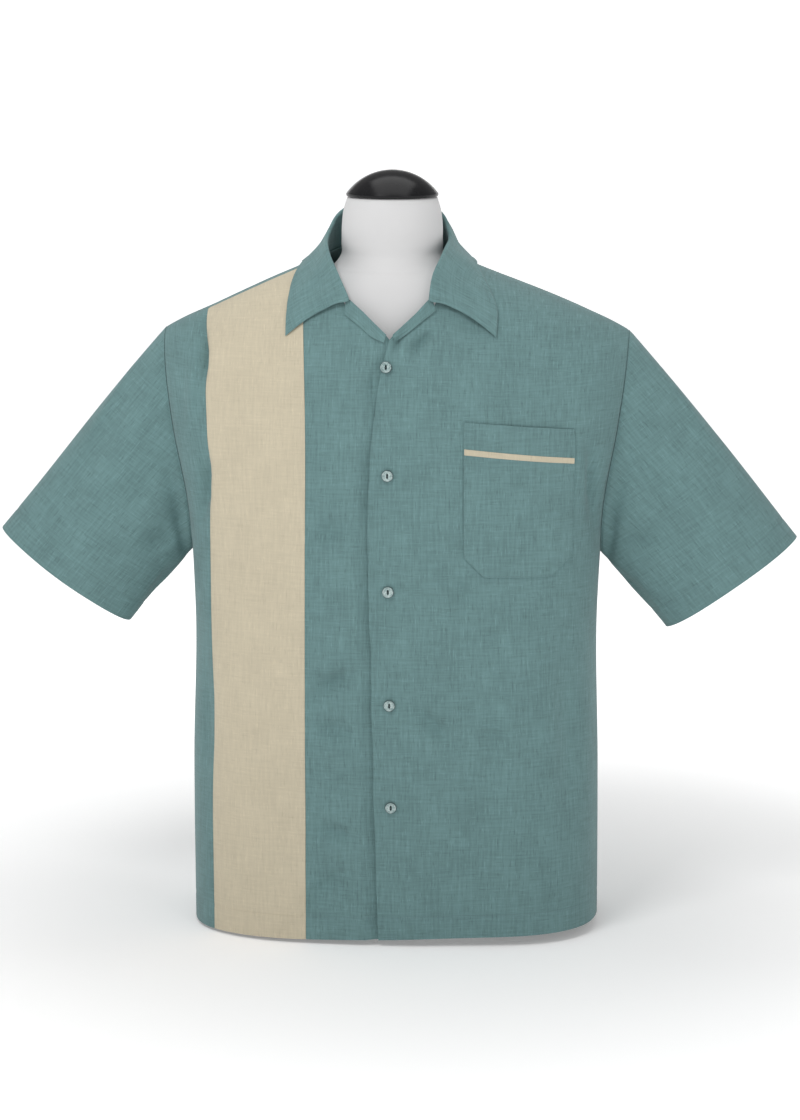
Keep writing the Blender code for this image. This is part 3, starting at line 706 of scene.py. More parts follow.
# %% Cutting lines
OVERLAP_EDGE = (
    (0.008, -0.0120),
    (0.170, -0.0165),
    (0.300, -0.0190),
    (0.600, -0.0190),
    (0.656, -0.0125),
    (0.713, -0.0010),
)
UNDERLAP_EDGE = ((0.008, 0.022), (0.665, 0.022), (0.690, 0.019), (0.7135, 0.001))
UNDERLAP_WIDTH = 0.0165
UNDERLAP_DEPTH = 0.0036
CONTRAST_INNER = ((0.008, -0.098), (0.450, -0.0965), (0.640, -0.0965), (0.800, -0.1060))
CONTRAST_OUTER = ((0.008, -0.2130), (0.450, -0.2127), (0.600, -0.2135), (0.760, -0.2225))
V_POINT = 0.7135
V_SIDE = ((0.0000, 0.7135), (0.0220, 0.7345))
# seam turn and rise, roll turn and rise, roll height, leaf edge turn and rise, bow of the end
COLLAR_STATIONS = (
    (19.8, 1.485, 19.2, 1.505, 0.0045, 44.2, 1.462, 0.045),
    (23.0, 1.595, 21.6, 1.622, 0.0065, 44.3, 1.595, 0.012),
    (26.6, 1.730, 24.9, 1.780, 0.0090, 42.8, 1.715, 0.000),
    (29.4, 1.960, 26.3, 1.975, 0.0110, 39.2, 1.930, 0.000),
    (28.6, 2.100, 23.0, 2.090, 0.0190, 38.0, 2.120, 0.000),
    (24.6, 2.205, 17.9, 2.165, 0.0285, 33.6, 2.290, 0.000),
    (13.6, 2.285, 8.8, 2.235, 0.0350, 20.5, 2.425, 0.000),
    (0.0, 2.320, 0.0, 2.262, 0.0345, 0.0, 2.475, 0.000),
)
STATIONS = np.array(COLLAR_STATIONS)
HEM_TURN_UP = 0.028
HEM_LINE_RISE = HEM_TURN_UP / (CHEST_HEIGHT - HEM_HEIGHT)
V_RISE = float(locate(0.0, V_POINT)[1])


def side_turn(rise):
    """Turn of the side seam, and above the underarm of the armhole."""
    level = np.where(rise > 2, 4 - rise, rise)
    reach = np.clip((1 - level) / (1 - UNDERARM_RISE), 0, 1)
    return QUARTER - ARMHOLE_SET * np.sqrt(1 - reach**2)


def turn_on_line(points, rise):
    """Turn, at each rise, of an upright cutting line given as pairs of height and distance."""
    turn = np.zeros_like(rise)
    for _ in range(8):
        height = torso(turn, rise)[..., 2]
        turn = locate(line_at(points, height), height)[0]
    return turn


def neck_turn(rise):
    """Turn of the front neckline: up the side of the V, then along the collar seam."""
    v_turns, v_rises = locate(*np.array(V_SIDE).T)
    front = STATIONS[STATIONS[:, 1] < 2]
    rises = np.concatenate([v_rises, front[:, 1]])
    return smooth(rise, rises, np.concatenate([v_turns, np.radians(front[:, 0])]))


# %% Rows of the panels
SIDE_RISES = np.concatenate(
    [
        np.linspace(0, HEM_LINE_RISE, 8),
        HEM_LINE_RISE + np.array([0.003, 0.007, 0.013]),
        np.linspace(0.075, UNDERARM_RISE, 110),
    ]
)
FRONT_ANGLES = np.concatenate(
    [
        np.linspace(0, QUARTER, 30),
        QUARTER * np.linspace(1, V_RISE, 16)[1:],
        QUARTER * np.linspace(V_RISE, SHOULDER_SEAM, 36)[1:],
    ]
)
BACK_ANGLES = 2 * math.pi - FRONT_ANGLES[::-1]
FRONT_RISES = np.concatenate([SIDE_RISES[:-1], armhole(FRONT_ANGLES)[1]])
BACK_RISES = np.concatenate([[SHOULDER_SEAM, 1.96, 2.0, 2.04], 4 - FRONT_RISES[::-1]])
ARM_ROWS = slice(len(SIDE_RISES) - 1, None)


def seam_shares(columns):
    """0 to 1, closer together near both seams."""
    even = np.linspace(0, 1, columns)
    return 0.55 * even + 0.45 * (0.5 - 0.5 * np.cos(math.pi * even))


def armhole_fade(turn, rise):
    """0 on the side seam and armhole, 1 from about a centimetre inside."""
    return ease((side_turn(rise) - np.abs(turn)) / 0.05)


def hang(turn, rise):
    """Folds and sway, faded out where the sleeve or the next panel is sewn on."""
    return drape(turn, rise) * armhole_fade(turn, rise)


def body_uv(turn, rise):
    """Grain of the body in metres: across is the girth at the chest up to this turn, and up is the
    height plus a share of the way back over the shoulder."""
    ring = np.linspace(0, QUARTER, 240)
    chest = torso(ring, np.ones(240))
    girth = steps(chest[None], 1)[0]
    x, y, z = np.moveaxis(torso(turn, rise), -1, 0)
    aside = np.abs(turn)
    back_of_ring = np.interp(aside, ring, np.abs(chest[:, 1])) - np.abs(y)
    across = np.sign(turn) * np.interp(aside, ring, girth)
    return np.stack([across, z + 0.7 * np.clip(back_of_ring, 0, None)], axis=-1)


def armhole_inward(angle):
    """Direction into the wall at the armhole seam, shared by the body and the sleeve."""
    body = outward(torso, *armhole(angle))
    arm = outward(sleeve_backwards, -angle, np.full_like(angle, 0.02))
    return unit(-body - arm)


def pulled_in(grid, below=0.0, above=0.0, start=0.0, end=0.0):
    """Grid with its edges moved towards their neighbours, to leave the gaps of the seams."""
    grid = grid.copy()
    for amount, edge, near in ((below, 0, 1), (above, -1, -2)):
        grid[edge] += unit(grid[near] - grid[edge]) * amount
    for amount, edge, near in ((start, 0, 1), (end, -1, -2)):
        grid[:, edge] += unit(grid[:, near] - grid[:, edge]) * amount
    return grid


def laid(turn, rise, off, thick=CLOTH):
    """Outer and inner grids of cloth: body surface + normal x off, and the same less the cloth."""
    normal = outward(torso, turn, rise)
    outer = torso(turn, rise) + normal * np.asarray(off)[..., None]
    return outer, outer - normal * np.asarray(thick + 0 * turn)[..., None]


def seam_dip(outer_grid, edges):
    """Cloth drawn in at the seams: a groove half a millimetre deep along each named edge."""
    walked = steps(outer_grid, 1)
    dip = np.zeros(walked.shape)
    for edge, distance in (("start", walked), ("end", walked[:, -1:] - walked)):
        if edge in edges:
            dip = dip + groove(distance, DIP_WIDTH, SEAM_DIP)
    return dip


def hem_work(rise):
    """(relief, extra thickness) of the turned-up hem: a soft line where it is stitched down."""
    level = np.where(rise > 2, 4 - rise, rise)
    doubled = level <= HEM_LINE_RISE + 1e-9
    above_line = (level - HEM_LINE_RISE) * (CHEST_HEIGHT - HEM_HEIGHT)
    return groove(above_line, DIP_WIDTH, HEM_DIP), doubled * HEM_FOLD


# %% [markdown]
# ## Sleeves
# Each sleeve is a smooth run from the armhole to a tilted oval, the cuff. It is cut wide and short, so
# it stands away from where the arm would be, and a few drag lines start at the underarm.

# %% Sleeve surface
CUFF_MIDDLE = (0.3975, 0.000, 0.4155)
CUFF_HALF_CHORD = 0.0950
CUFF_HALF_DEPTH = 0.0500
CUFF_TILT = math.radians(54.0)
SLEEVE_FALL = math.radians(51.0)
SLEEVE_CAP_FULLNESS = (0.006, 0.000, 0.010)
UNDERARM_TROUGH = 0.0058
# round and along of each end, half width round, depth in metres
SLEEVE_FOLDS = (
    (0.55, 0.02, 1.20, 0.60, 0.15, -0.0060),
    (0.95, 0.05, 1.65, 0.70, 0.18, 0.0036),
    (1.35, 0.02, 1.60, 0.55, 0.16, -0.0036),
    (1.90, 0.10, 1.95, 0.95, 0.22, 0.0022),
    (2.35, 0.06, 2.25, 0.80, 0.20, -0.0020),
    (2.85, 0.03, 2.60, 0.60, 0.16, 0.0022),
    (3.60, 0.04, 3.80, 0.70, 0.20, -0.0028),
    (4.30, 0.06, 4.10, 0.85, 0.22, 0.0030),
    (4.80, 0.03, 4.60, 0.60, 0.18, -0.0036),
    (5.60, 0.03, 4.90, 0.60, 0.16, -0.0050),
    (0.10, 0.10, 0.25, 0.90, 0.20, -0.0036),
    (5.95, 0.15, 5.80, 0.95, 0.20, 0.0026),
)


def sleeve(angle, along):
    """Point of the sleeve on +X: Hermite run from the armhole to the tilted oval of the cuff."""
    angle, along = np.broadcast_arrays(np.asarray(angle, float), np.asarray(along, float))
    start = torso(*armhole(angle))
    up_chord = np.array([math.sin(CUFF_TILT), 0.0, math.cos(CUFF_TILT)])
    down_arm = np.array([math.cos(SLEEVE_FALL), 0.0, -math.sin(SLEEVE_FALL)])
    forward = np.array([0.0, -1.0, 0.0])
    end = np.array(CUFF_MIDDLE) - np.cos(angle)[..., None] * CUFF_HALF_CHORD * up_chord
    end = end + np.sin(angle)[..., None] * CUFF_HALF_DEPTH * forward
    run = end - start
    cap = np.maximum(-np.cos(angle), 0)[..., None] ** 2
    leave = run + cap * np.array(SLEEVE_CAP_FULLNESS)
    arrive = down_arm * np.linalg.norm(run, axis=-1, keepdims=True)
    return hermite(along[..., None], start, leave, end, arrive)


def sleeve_backwards(angle, along):
    """The sleeve with its angle counted the other way, so that its outward side faces out."""
    return sleeve(-angle, along)


def sleeve_drape(angle, along, seed):
    """Drag lines, sway and the cuff's slack, all fading to nothing at the armhole."""
    total = np.zeros(np.broadcast(angle, along).shape)
    for a1, b1, a2, b2, width, depth in SLEEVE_FOLDS:
        share = (along - b1) / (b2 - b1)
        line = a1 + (a2 - a1) * share + 0.12 * np.sin(math.pi * share + seed)
        gap = np.mod(angle - line + math.pi, 2 * math.pi) - math.pi
        total = total + depth * bell(gap, width) * end_fade(share)
    low_seam = bell(angle - 0.85, 0.60) + bell(angle - 5.43, 0.60)
    total = total - UNDERARM_TROUGH * low_seam * bell(along - 0.10, 0.065)
    slack = 0.0010 * np.sin(2 * angle + 5 * along + seed)
    slack = slack + 0.0008 * np.sin(5 * angle - 3 * along + 2 * seed)
    return (total + slack * along) * np.clip(along / 0.05, 0, 1)


def make_sleeve(name, side, seed):
    """Fine sleeve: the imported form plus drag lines, the cuff's turned-up hem and its stitch line."""
    angles = np.concatenate([FRONT_ANGLES, [math.pi], BACK_ANGLES[:-1]])
    turns = -angles[::-1]
    seam_rows = [0.0, 0.004, 0.010, 0.020]
    along = np.concatenate([seam_rows, np.linspace(0.035, 0.88, 44), np.linspace(0.885, 1, 20)])
    along = along[:, None]
    shift = np.array([SEAM_GAP, 0.0, 0.0])
    closed = np.append(turns, turns[0] + 2 * math.pi)
    flat = sleeve_backwards(closed[None, :], along) + shift
    walked = steps(flat, 0)
    from_cuff = walked[-1:] - walked
    round_arm = np.mod(-closed, 2 * math.pi)[None, :]
    relief = sleeve_drape(round_arm, along, seed) + groove(walked, 0.0025, 0.0006)
    relief = relief + groove(from_cuff - HEM_TURN_UP, DIP_WIDTH, SEAM_DIP)
    normal = outward(sleeve_backwards, np.repeat(closed[None, :], len(along), axis=0), along)
    outer = flat + normal * relief[..., None]
    outer[0] = flat[0]
    thick = CLOTH + HEM_FOLD * (from_cuff <= HEM_TURN_UP)
    inner = outer - normal * thick[..., None]
    inner[0, :-1] = outer[0, :-1] + armhole_inward(angles[::-1]) * CLOTH
    inner[0, -1] = inner[0, 0]
    girth = steps(flat, 1)[len(along) // 2]
    uv = np.stack([5.0 + seed - girth + 0 * walked, -from_cuff], axis=-1)
    if side < 0:
        outer, inner, uv = outer[:, ::-1] * MIRROR, inner[:, ::-1] * MIRROR, uv[:, ::-1]
        normal = normal[:, ::-1] * MIRROR
        from_cuff = from_cuff[:, ::-1]
    piece = shell(name, outer[:, :-1], inner[:, :-1], teal_linen, uv, tube=True)
    return piece, outer, normal, from_cuff


# %% [markdown]
# ## Panels
# Two fronts overlap down the middle. The left one, on top, is folded back into its own facing, which
# gives its edge a soft thick roll. The right one is cut in three, the middle piece in cream, and dips
# below the left. Fine rows and columns carry the folds.

# %% Front panels
def overlap_wave(rise):
    """The folded edge isn't quite straight: two sines let it wander up to half a millimetre."""
    return 0.0022 * np.sin(rise * 34 + 0.6) + 0.0014 * np.sin(rise * 71 + 2.0)


def underlap_sink(plain):
    """The right front dips below the left: a smooth step just outside the left one's edge, a little
    deeper half way between buttons, and gone at the foot of the V."""
    x, _, z = np.moveaxis(plain, -1, 0)
    inside = x - line_at(OVERLAP_EDGE, z) + UNDERLAP_WIDTH
    depth = UNDERLAP_DEPTH * (1 + 0.22 * np.sin(47 * z + 0.9)) * np.clip((0.722 - z) / 0.03, 0, 1)
    return -depth * ease(inside / (UNDERLAP_WIDTH - 0.002))


def sewn_panel(name, turn, rise, lift, edges, material, arm_edges=(), grain_start=0.0):
    """Panel of the body: its hem worked, drawn in at its edges, and turned in at the armholes.
    arm_edges gives rows, a column and the way into the wall there."""
    relief, extra = hem_work(rise)
    lift = hang(turn, rise) + relief + seam_dip(torso(turn, rise), edges) + lift
    outer, inner = laid(turn, rise, lift, CLOTH + extra)
    for rows, column, inward in arm_edges:
        inner[rows, column] = outer[rows, column] + inward * CLOTH
    gaps = {edge: SEAM_GAP / 2 for edge in edges}
    outer, inner = pulled_in(outer, **gaps), pulled_in(inner, **gaps)
    piece = shell(name, outer, inner, material, body_uv(turn, rise) + (grain_start, 0.0))
    return piece, outer, outward(torso, turn, rise)


def front_panel(name, first, last, columns, material, edges, off=None, arm_edges=()):
    """Front panel between two lists of turns, one for each row. off is its height over the body."""
    rise = np.repeat(FRONT_RISES[:, None], columns, axis=1)
    turn = first[:, None] + (last - first)[:, None] * seam_shares(columns)
    lift = 0.0 if off is None else off(torso(turn, rise))
    return sewn_panel(name, turn, rise, lift, ("above", *edges), material, arm_edges)


def left_edge_roll(plain):
    """The folded edge of the left front stands a little proud, with a shallow dip behind it."""
    walked = steps(plain, 1)
    return 0.0007 * bell(walked, 0.0035) - 0.0003 * bell(walked - 0.009, 0.003)


left_inward = armhole_inward(FRONT_ANGLES)
in_v = FRONT_RISES >= V_RISE - 1e-9
neck = neck_turn(FRONT_RISES)
wave = overlap_wave(FRONT_RISES) * np.clip((V_RISE - FRONT_RISES) / 0.1, 0, 1)
over = np.where(in_v, neck, turn_on_line(OVERLAP_EDGE, FRONT_RISES) + wave)
under = np.where(in_v, -neck, turn_on_line(UNDERLAP_EDGE, FRONT_RISES))
contrast_inner = turn_on_line(CONTRAST_INNER, FRONT_RISES)
contrast_outer = turn_on_line(CONTRAST_OUTER, FRONT_RISES)
arm_line = side_turn(FRONT_RISES)

front_left, left_grid, left_normal = front_panel(
    "cloth_front_left", over, arm_line, 92, teal_linen, ("end",),
    off=left_edge_roll, arm_edges=[(ARM_ROWS, -1, left_inward)],
)
front_centre, centre_grid, centre_normal = front_panel(
    "cloth_front_right_centre", contrast_inner, under, 44, teal_linen, ("start",),
    off=underlap_sink,
)
front_contrast, contrast_grid, contrast_normal = front_panel(
    "cloth_front_right_contrast", contrast_outer, contrast_inner, 40, cream_linen, ("start", "end")
)
front_side, side_grid, side_normal = front_panel(
    "cloth_front_right_side", -arm_line, contrast_outer, 26, teal_linen, ("start", "end"),
    arm_edges=[(ARM_ROWS, 0, left_inward * MIRROR)],
)


# %% Back panel
BACK_GRAIN = 3.0


def make_back():
    """One panel from armhole to armhole, cut out round the back of the neck."""
    places = np.arange(len(STATIONS))
    at_seam = np.interp(SHOULDER_SEAM, STATIONS[:5, 1], places[:5])
    half_neck = np.linspace(places[-1], at_seam, 22)
    neck_turns = np.radians(smooth(half_neck, places, STATIONS[:, 0]))
    neck_rises = smooth(half_neck, places, STATIONS[:, 1])
    neck_rises[-1] = SHOULDER_SEAM
    shoulder = np.linspace(neck_turns[-1], QUARTER - ARMHOLE_SET, 46)[1:]
    top_turn = np.concatenate([neck_turns, shoulder])
    top_rise = np.concatenate([neck_rises, np.full(len(shoulder), SHOULDER_SEAM)])
    spread = (top_turn - top_turn[0]) / (top_turn[-1] - top_turn[0])
    low_turn = QUARTER * (0.25 * np.linspace(0, 1, len(spread)) + 0.75 * spread)
    side = np.array([-1.0] * (len(top_turn) - 1) + [1.0] * len(top_turn))
    top_turn, top_rise, low_turn = (
        np.concatenate([half[:0:-1], half]) for half in (top_turn, top_rise, low_turn)
    )
    rise_row = BACK_RISES[:, None]
    down = (rise_row - SHOULDER_SEAM) / (4 - SHOULDER_SEAM)
    rise = top_rise + (4 - top_rise) * down
    pull = (QUARTER - side_turn(rise_row)) / ARMHOLE_SET
    turn = (low_turn + (top_turn - low_turn) * pull) * side
    angles = np.concatenate([QUARTER * BACK_RISES[:4], BACK_ANGLES])
    inward = armhole_inward(angles)
    rows = slice(0, len(angles))
    arm_edges = [(rows, -1, inward), (rows, 0, inward * MIRROR)]
    edges = ("below", "start", "end")
    return sewn_panel("cloth_back", turn, rise, 0.0, edges, teal_linen, arm_edges, BACK_GRAIN)


back, back_grid, back_normal = make_back()
sleeve_left, sleeve_grid, sleeve_normal, sleeve_from_cuff = make_sleeve("cloth_sleeve_left", 1, 0.0)
sleeve_right, right_grid, right_normal, right_from_cuff = make_sleeve("cloth_sleeve_right", -1, 1.3)
for made in (front_left, front_centre, front_contrast, front_side, back, sleeve_left, sleeve_right):
    print(made.name, len(made.data.polygons), "faces")

# %% [markdown]
# ## Collar and facings
# A camp collar is one doubled piece: a low stand, a roll and a flat leaf. Going across it, table rows
# blend three lines, the neck seam, the roll and the edge of the leaf. The turned-out ends of the front
# facings lie flat beside the V, as two narrow strips.

# %% Collar
COLLAR_CLOTH = 0.0020
COLLAR_BASE = 0.0028
# shares of seam, roll and edge, sideways shift, shares of the roll's and of the lying height
COLLAR_PROFILE = (
    (1.00, 0.00, 0.00, 0.0000, 0.00, 0.50),
    (0.50, 0.50, 0.00, -0.0014, 0.50, 0.60),
    (0.10, 0.90, 0.00, -0.0020, 0.90, 0.85),
    (0.00, 1.00, 0.00, 0.0004, 1.00, 1.05),
    (0.00, 0.97, 0.03, 0.0030, 0.92, 1.10),
    (0.00, 0.75, 0.25, 0.0020, 0.74, 1.10),
    (0.00, 0.45, 0.55, 0.0008, 0.46, 1.05),
    (0.00, 0.20, 0.80, 0.0000, 0.20, 1.00),
    (0.00, 0.00, 1.00, 0.0000, 0.00, 1.00),
)


def collar_point(station, place):
    """Middle of the collar's cloth. station runs from one front end round the back to the other,
    place from the neck seam up the stand, over the roll and down the leaf to its edge."""
    last = len(STATIONS) - 1
    side = np.where(station < last, -1.0, 1.0)
    nearest = last - np.abs(station - last)
    mirror = np.array([-1, 1, -1, 1, 1, -1, 1, 1])
    rows = np.concatenate([2 * STATIONS[:1] - STATIONS[1:2], STATIONS, STATIONS[-2:-1] * mirror])
    values = [smooth(nearest, np.arange(-1, last + 2), rows[:, i]) for i in range(8)]
    profile = np.array(COLLAR_PROFILE)
    shares = [smooth(place, np.arange(len(profile)), profile[:, i]) for i in range(6)]
    seam = np.radians(values[0]), values[1]
    roll = np.radians(values[2]), values[3]
    edge = np.radians(values[5]), values[6]
    out = shares[3] / np.linalg.norm(torso(*edge) - torso(*roll), axis=-1)
    turn, rise = (
        shares[0] * seam[i] + shares[1] * roll[i] + shares[2] * edge[i] + out * (edge[i] - roll[i])
        for i in (0, 1)
    )
    rise = rise + values[7] * 4 * shares[2] * (1 - shares[2])
    height = COLLAR_BASE * shares[5] + values[4] * shares[4]
    turn = turn * side
    return torso(turn, rise) + outward(torso, turn, rise) * height[..., None]


def make_collar():
    """The doubled cloth follows collar_point. A seam allowance inside it swells the leaf a little
    behind its edge, and both faces close in towards the edge."""
    last = len(STATIONS) - 1
    even = np.linspace(0, 1, 150)
    stations = 2 * last * (0.85 * even + 0.15 * (0.5 - 0.5 * np.cos(math.pi * even)))
    places = np.concatenate([np.linspace(0, 7.4, 60), np.linspace(7.45, 8, 14)])
    station, place = np.meshgrid(stations, places)
    middle = collar_point(station, place)
    normal = outward(collar_point, station, place)
    walked = steps(middle, 0)
    to_edge = walked[-1:] - walked
    ends = np.minimum(steps(middle, 1), steps(middle[:, ::-1], 1)[:, ::-1])
    near = np.minimum(to_edge, ends)
    closing = np.sqrt(1 - (1 - np.clip(near / 0.0011, 0, 1)) ** 2)
    half = COLLAR_CLOTH / 2 * (0.25 + 0.75 * closing)
    swell = 0.00035 * bell(near - 0.004, 0.0022) - 0.0003 * bell(near - 0.008, 0.0016)
    leaf = np.clip((place - 4) / 1.5, 0, 1)
    leaf_uv = np.stack([7.0 + steps(middle, 1)[len(places) // 2] + 0 * walked, walked], axis=-1)
    ripple = 0.0006 * np.sin(station * 2.3 + 0.7) + 0.0005 * np.sin(station * 5.1 + place)
    settle = 0.0009 * np.exp(-near / 0.004)
    rise = (swell + ripple * np.clip(near / 0.02, 0, 1) - settle) * leaf
    outer = middle + normal * (half + rise)[..., None]
    inner = middle + normal * (rise - half)[..., None]
    return shell("cloth_collar", outer, inner, teal_linen, leaf_uv)


collar = make_collar()

# %% Facing ends
# inner x and z, outer x and z, from the notch down to the point of the V
FACING_ROWS = (
    (0.0478, 0.7585, 0.0530, 0.7400),
    (0.0360, 0.7478, 0.0378, 0.7295),
    (0.0180, 0.7312, 0.0195, 0.7155),
    (0.0035, 0.7180, 0.0060, 0.7100),
)
FACING_ROLL = 0.0032
LEFT_FACING_WIDTH = 0.75


def make_facing(name, side, width):
    """Strip between two lines beside the V. It rises from the cloth towards the fold of the V."""
    rows = np.array(FACING_ROWS)
    along = np.linspace(0, 1, 48)[:, None]
    across = np.linspace(1, 0, 18)[None, :]
    places = np.linspace(0, 1, len(rows))
    inner_x, inner_z, outer_x, outer_z = (smooth(along, places, rows[:, i]) for i in range(4))
    off = LAY_ON + CLOTH + 0.0004 + (FACING_ROLL - LAY_ON) * (1 - across) ** 1.4 + 0 * inner_x
    z = inner_z + (outer_z - inner_z) * across * width
    x = side * (inner_x + (outer_x - inner_x) * across * width) + line_at(NECK_ASIDE, z)
    turn, rise = locate(x, z)
    off = off + hang(turn, rise) * 0.8 + 0.0004 * np.sin(14 * along + 2 * side) * across
    outer, inner = laid(turn, rise, off, CLOTH * 1.4)
    outer, inner = outer[:, ::side], inner[:, ::side]
    return shell(name, outer, inner, teal_linen, cloth_uv(outer))


facing_left = make_facing("cloth_facing_left", 1, LEFT_FACING_WIDTH)
facing_right = make_facing("cloth_facing_right", -1, 1.0)
print("collar", len(collar.data.polygons), "facings", len(facing_left.data.polygons))

# %% [markdown]
# ## Pocket and trim
# A chest pocket is a flat patch sewn down on three sides. Its edges lie close on the front and its
# middle stands a little away; its mouth, at the top, gapes by half a millimetre. A narrow cream strip
# runs across it below the mouth.

# %% Pocket
POCKET_TOP_INNER = (0.0855, 0.6215)
POCKET_TOP_OUTER = (0.2110, 0.6105)
POCKET_BOTTOM_INNER = (0.0866, 0.4425)
POCKET_BOTTOM_OUTER = (0.2090, 0.4405)
POCKET_CHAMFER = 0.0235
TRIM_DROP = (0.0303, 0.0370)
POCKET_DEEP = POCKET_TOP_INNER[1] - POCKET_BOTTOM_INNER[1]
POCKET_CLOTH = 0.0007
POCKET_WIDE = 0.124
POCKET_STITCH_INSET = 0.0016
TRIM_SLOPE = 0.0046


def pocket_spots(up, across):
    """x and z of shares of the pocket's height and width, its lower corners cut off."""
    cut = POCKET_CHAMFER * np.clip(1 - up * POCKET_DEEP / POCKET_CHAMFER, 0, 1)
    left_x = POCKET_BOTTOM_INNER[0] + (POCKET_TOP_INNER[0] - POCKET_BOTTOM_INNER[0]) * up + cut
    right_x = POCKET_BOTTOM_OUTER[0] + (POCKET_TOP_OUTER[0] - POCKET_BOTTOM_OUTER[0]) * up - cut
    left_z = POCKET_BOTTOM_INNER[1] + (POCKET_TOP_INNER[1] - POCKET_BOTTOM_INNER[1]) * up
    right_z = POCKET_BOTTOM_OUTER[1] + (POCKET_TOP_OUTER[1] - POCKET_BOTTOM_OUTER[1]) * up
    return left_x + (right_x - left_x) * across, left_z + (right_z - left_z) * across


def pocket_lift(up, across):
    """Height of the pocket's face over the front: low at the sewn edges, bellied, open on top."""
    side_gap = np.minimum(across, 1 - across) * POCKET_WIDE
    edge = np.minimum(side_gap, up * POCKET_DEEP)
    belly = 0.0009 * np.clip(edge / 0.030, 0, 1) ** 1.5 * (0.4 + 0.6 * up)
    gape = 0.0006 * up**10 * np.sin(math.pi * across)
    inner_side = 0.0004 * np.clip(1 - across / 0.12, 0, 1)
    return POCKET_CLOTH + 0.0004 + belly + gape + inner_side


def pocket_face(up, across, extra=0.0):
    """Points of the pocket's outer face, raised by extra, and their normals."""
    turn, rise = locate(*pocket_spots(up, across))
    normal = outward(torso, turn, rise)
    off = hang(turn, rise) + pocket_lift(up, across) + extra
    return torso(turn, rise) + normal * np.asarray(off)[..., None], normal


def make_pocket():
    """The patch over its spots, and the trim across it, its cut edges turned under."""
    cut = POCKET_CHAMFER / POCKET_DEEP
    up = np.concatenate([np.linspace(0, cut, 16), np.linspace(0.14, 1, 60)])[:, None]
    across = seam_shares(56)[None, :] + 0 * up
    up = up + 0 * across
    outer, normal = pocket_face(up, across)
    pocket_uv = np.stack(pocket_spots(up, across), axis=-1) + (9.0, 0.0)
    pocket_mesh = shell("cloth_pocket", outer, outer - normal * POCKET_CLOTH, teal_linen, pocket_uv)
    across = np.linspace(0.006, 0.992, 60)[None, :]
    drop = np.linspace(TRIM_DROP[1], TRIM_DROP[0], 9)[:, None]
    band = 1 - (drop + TRIM_SLOPE * across) / POCKET_DEEP
    across = across + 0 * band
    low, normal = pocket_face(band, across, 0.0001)
    round_edge = 0.0004 + 0.0002 * np.sin(math.pi * np.linspace(0, 1, 9))[:, None]
    high = low + normal * (round_edge + 0 * across)[..., None]
    trim_mesh = shell("cloth_pocket_trim", high, low, cream_linen, cloth_uv(high))
    return pocket_mesh, trim_mesh


pocket, pocket_trim = make_pocket()

# %% [markdown]
# ## Stitches
# The hems and the pocket are held by a lock stitch, a row of short thread beads sunk half into the
# cloth. One six-sided bead is copied along each line by arrays, so a whole row is one mesh.


# %% Stitch rows
BEAD_SIDES = 6
# place along the bead and width, as shares of its length and radius
BEAD_PROFILE = ((-0.5, 0.0), (-0.28, 1.0), (0.28, 1.0), (0.5, 0.0))


def stitch_row(path, normal, pitch=0.0030, length=0.0021, radius=0.00028):
    """Beads at an even pitch along a path: their points, and their four-cornered faces."""
    walked = steps(path[None], 1)[0]
    spots = np.arange(pitch / 2, walked[-1], pitch)
    middle = np.stack([np.interp(spots, walked, path[:, i]) for i in range(3)], axis=1)
    ahead = np.stack([np.interp(spots + 1e-4, walked, path[:, i]) for i in range(3)], axis=1)
    up = unit(np.stack([np.interp(spots, walked, normal[:, i]) for i in range(3)], axis=1))
    forward = unit(ahead - middle)
    aside = unit(np.cross(up, forward))
    angle = ring_angles(BEAD_SIDES)
    place, size = (column[:, None] for column in np.array(BEAD_PROFILE).T)
    shape = [place * length + 0 * angle, radius * size * np.cos(angle), radius * size * np.sin(angle)]
    shape = np.stack(shape, axis=-1).reshape(-1, 3)
    frames = np.stack([forward, aside, up], axis=1)
    points = middle[:, None] + shape @ frames
    grid = np.arange(len(shape)).reshape(-1, BEAD_SIDES)
    faces = quads_of(np.hstack([grid, grid[:, :1]]))
    faces = (np.arange(len(spots)) * len(shape))[:, None, None] + faces
    return points.reshape(-1, 3), faces.reshape(-1, 4)


def stitches(name, rows, material):
    """Several stitch rows as one object."""
    points, faces, start = [], [], 0
    for spots, quads in rows:
        points.append(spots)
        faces.append(quads + start)
        start += len(spots)
    return make_mesh(name, np.concatenate(points), [np.concatenate(faces)], material)


def hem_row(grid, normal, rises):
    """Path of the stitch line along a panel's hem, just proud of the groove."""
    row = int(np.argmin(np.abs(rises - HEM_LINE_RISE)))
    return stitch_row(grid[row] + normal[row] * 0.00005, normal[row])


hem_rows = [
    hem_row(left_grid, left_normal, FRONT_RISES),
    hem_row(centre_grid, centre_normal, FRONT_RISES),
    hem_row(side_grid, side_normal, FRONT_RISES),
    hem_row(back_grid[::-1], back_normal[::-1], 4 - BACK_RISES[::-1]),
]
hem_stitches = stitches("hem_stitches", hem_rows, teal_thread)
cream_thread = thread("cream_thread", (0.50, 0.44, 0.33))
contrast_stitches = stitches(
    "contrast_hem_stitches", [hem_row(contrast_grid, contrast_normal, FRONT_RISES)], cream_thread
)


def cuff_row(grid, normal, from_cuff):
    """Closed path round a cuff, where the distance to its edge is the hem's depth."""
    columns = np.arange(grid.shape[1])
    row = np.argmin(np.abs(from_cuff - HEM_TURN_UP), axis=0)
    near = from_cuff[row, columns], from_cuff[row - 1, columns]
    share = np.clip((HEM_TURN_UP - near[0]) / (near[1] - near[0]), 0, 1)[:, None]
    path = grid[row, columns] * (1 - share) + grid[row - 1, columns] * share
    return stitch_row(path + normal[row, columns] * 0.00005, normal[row, columns])


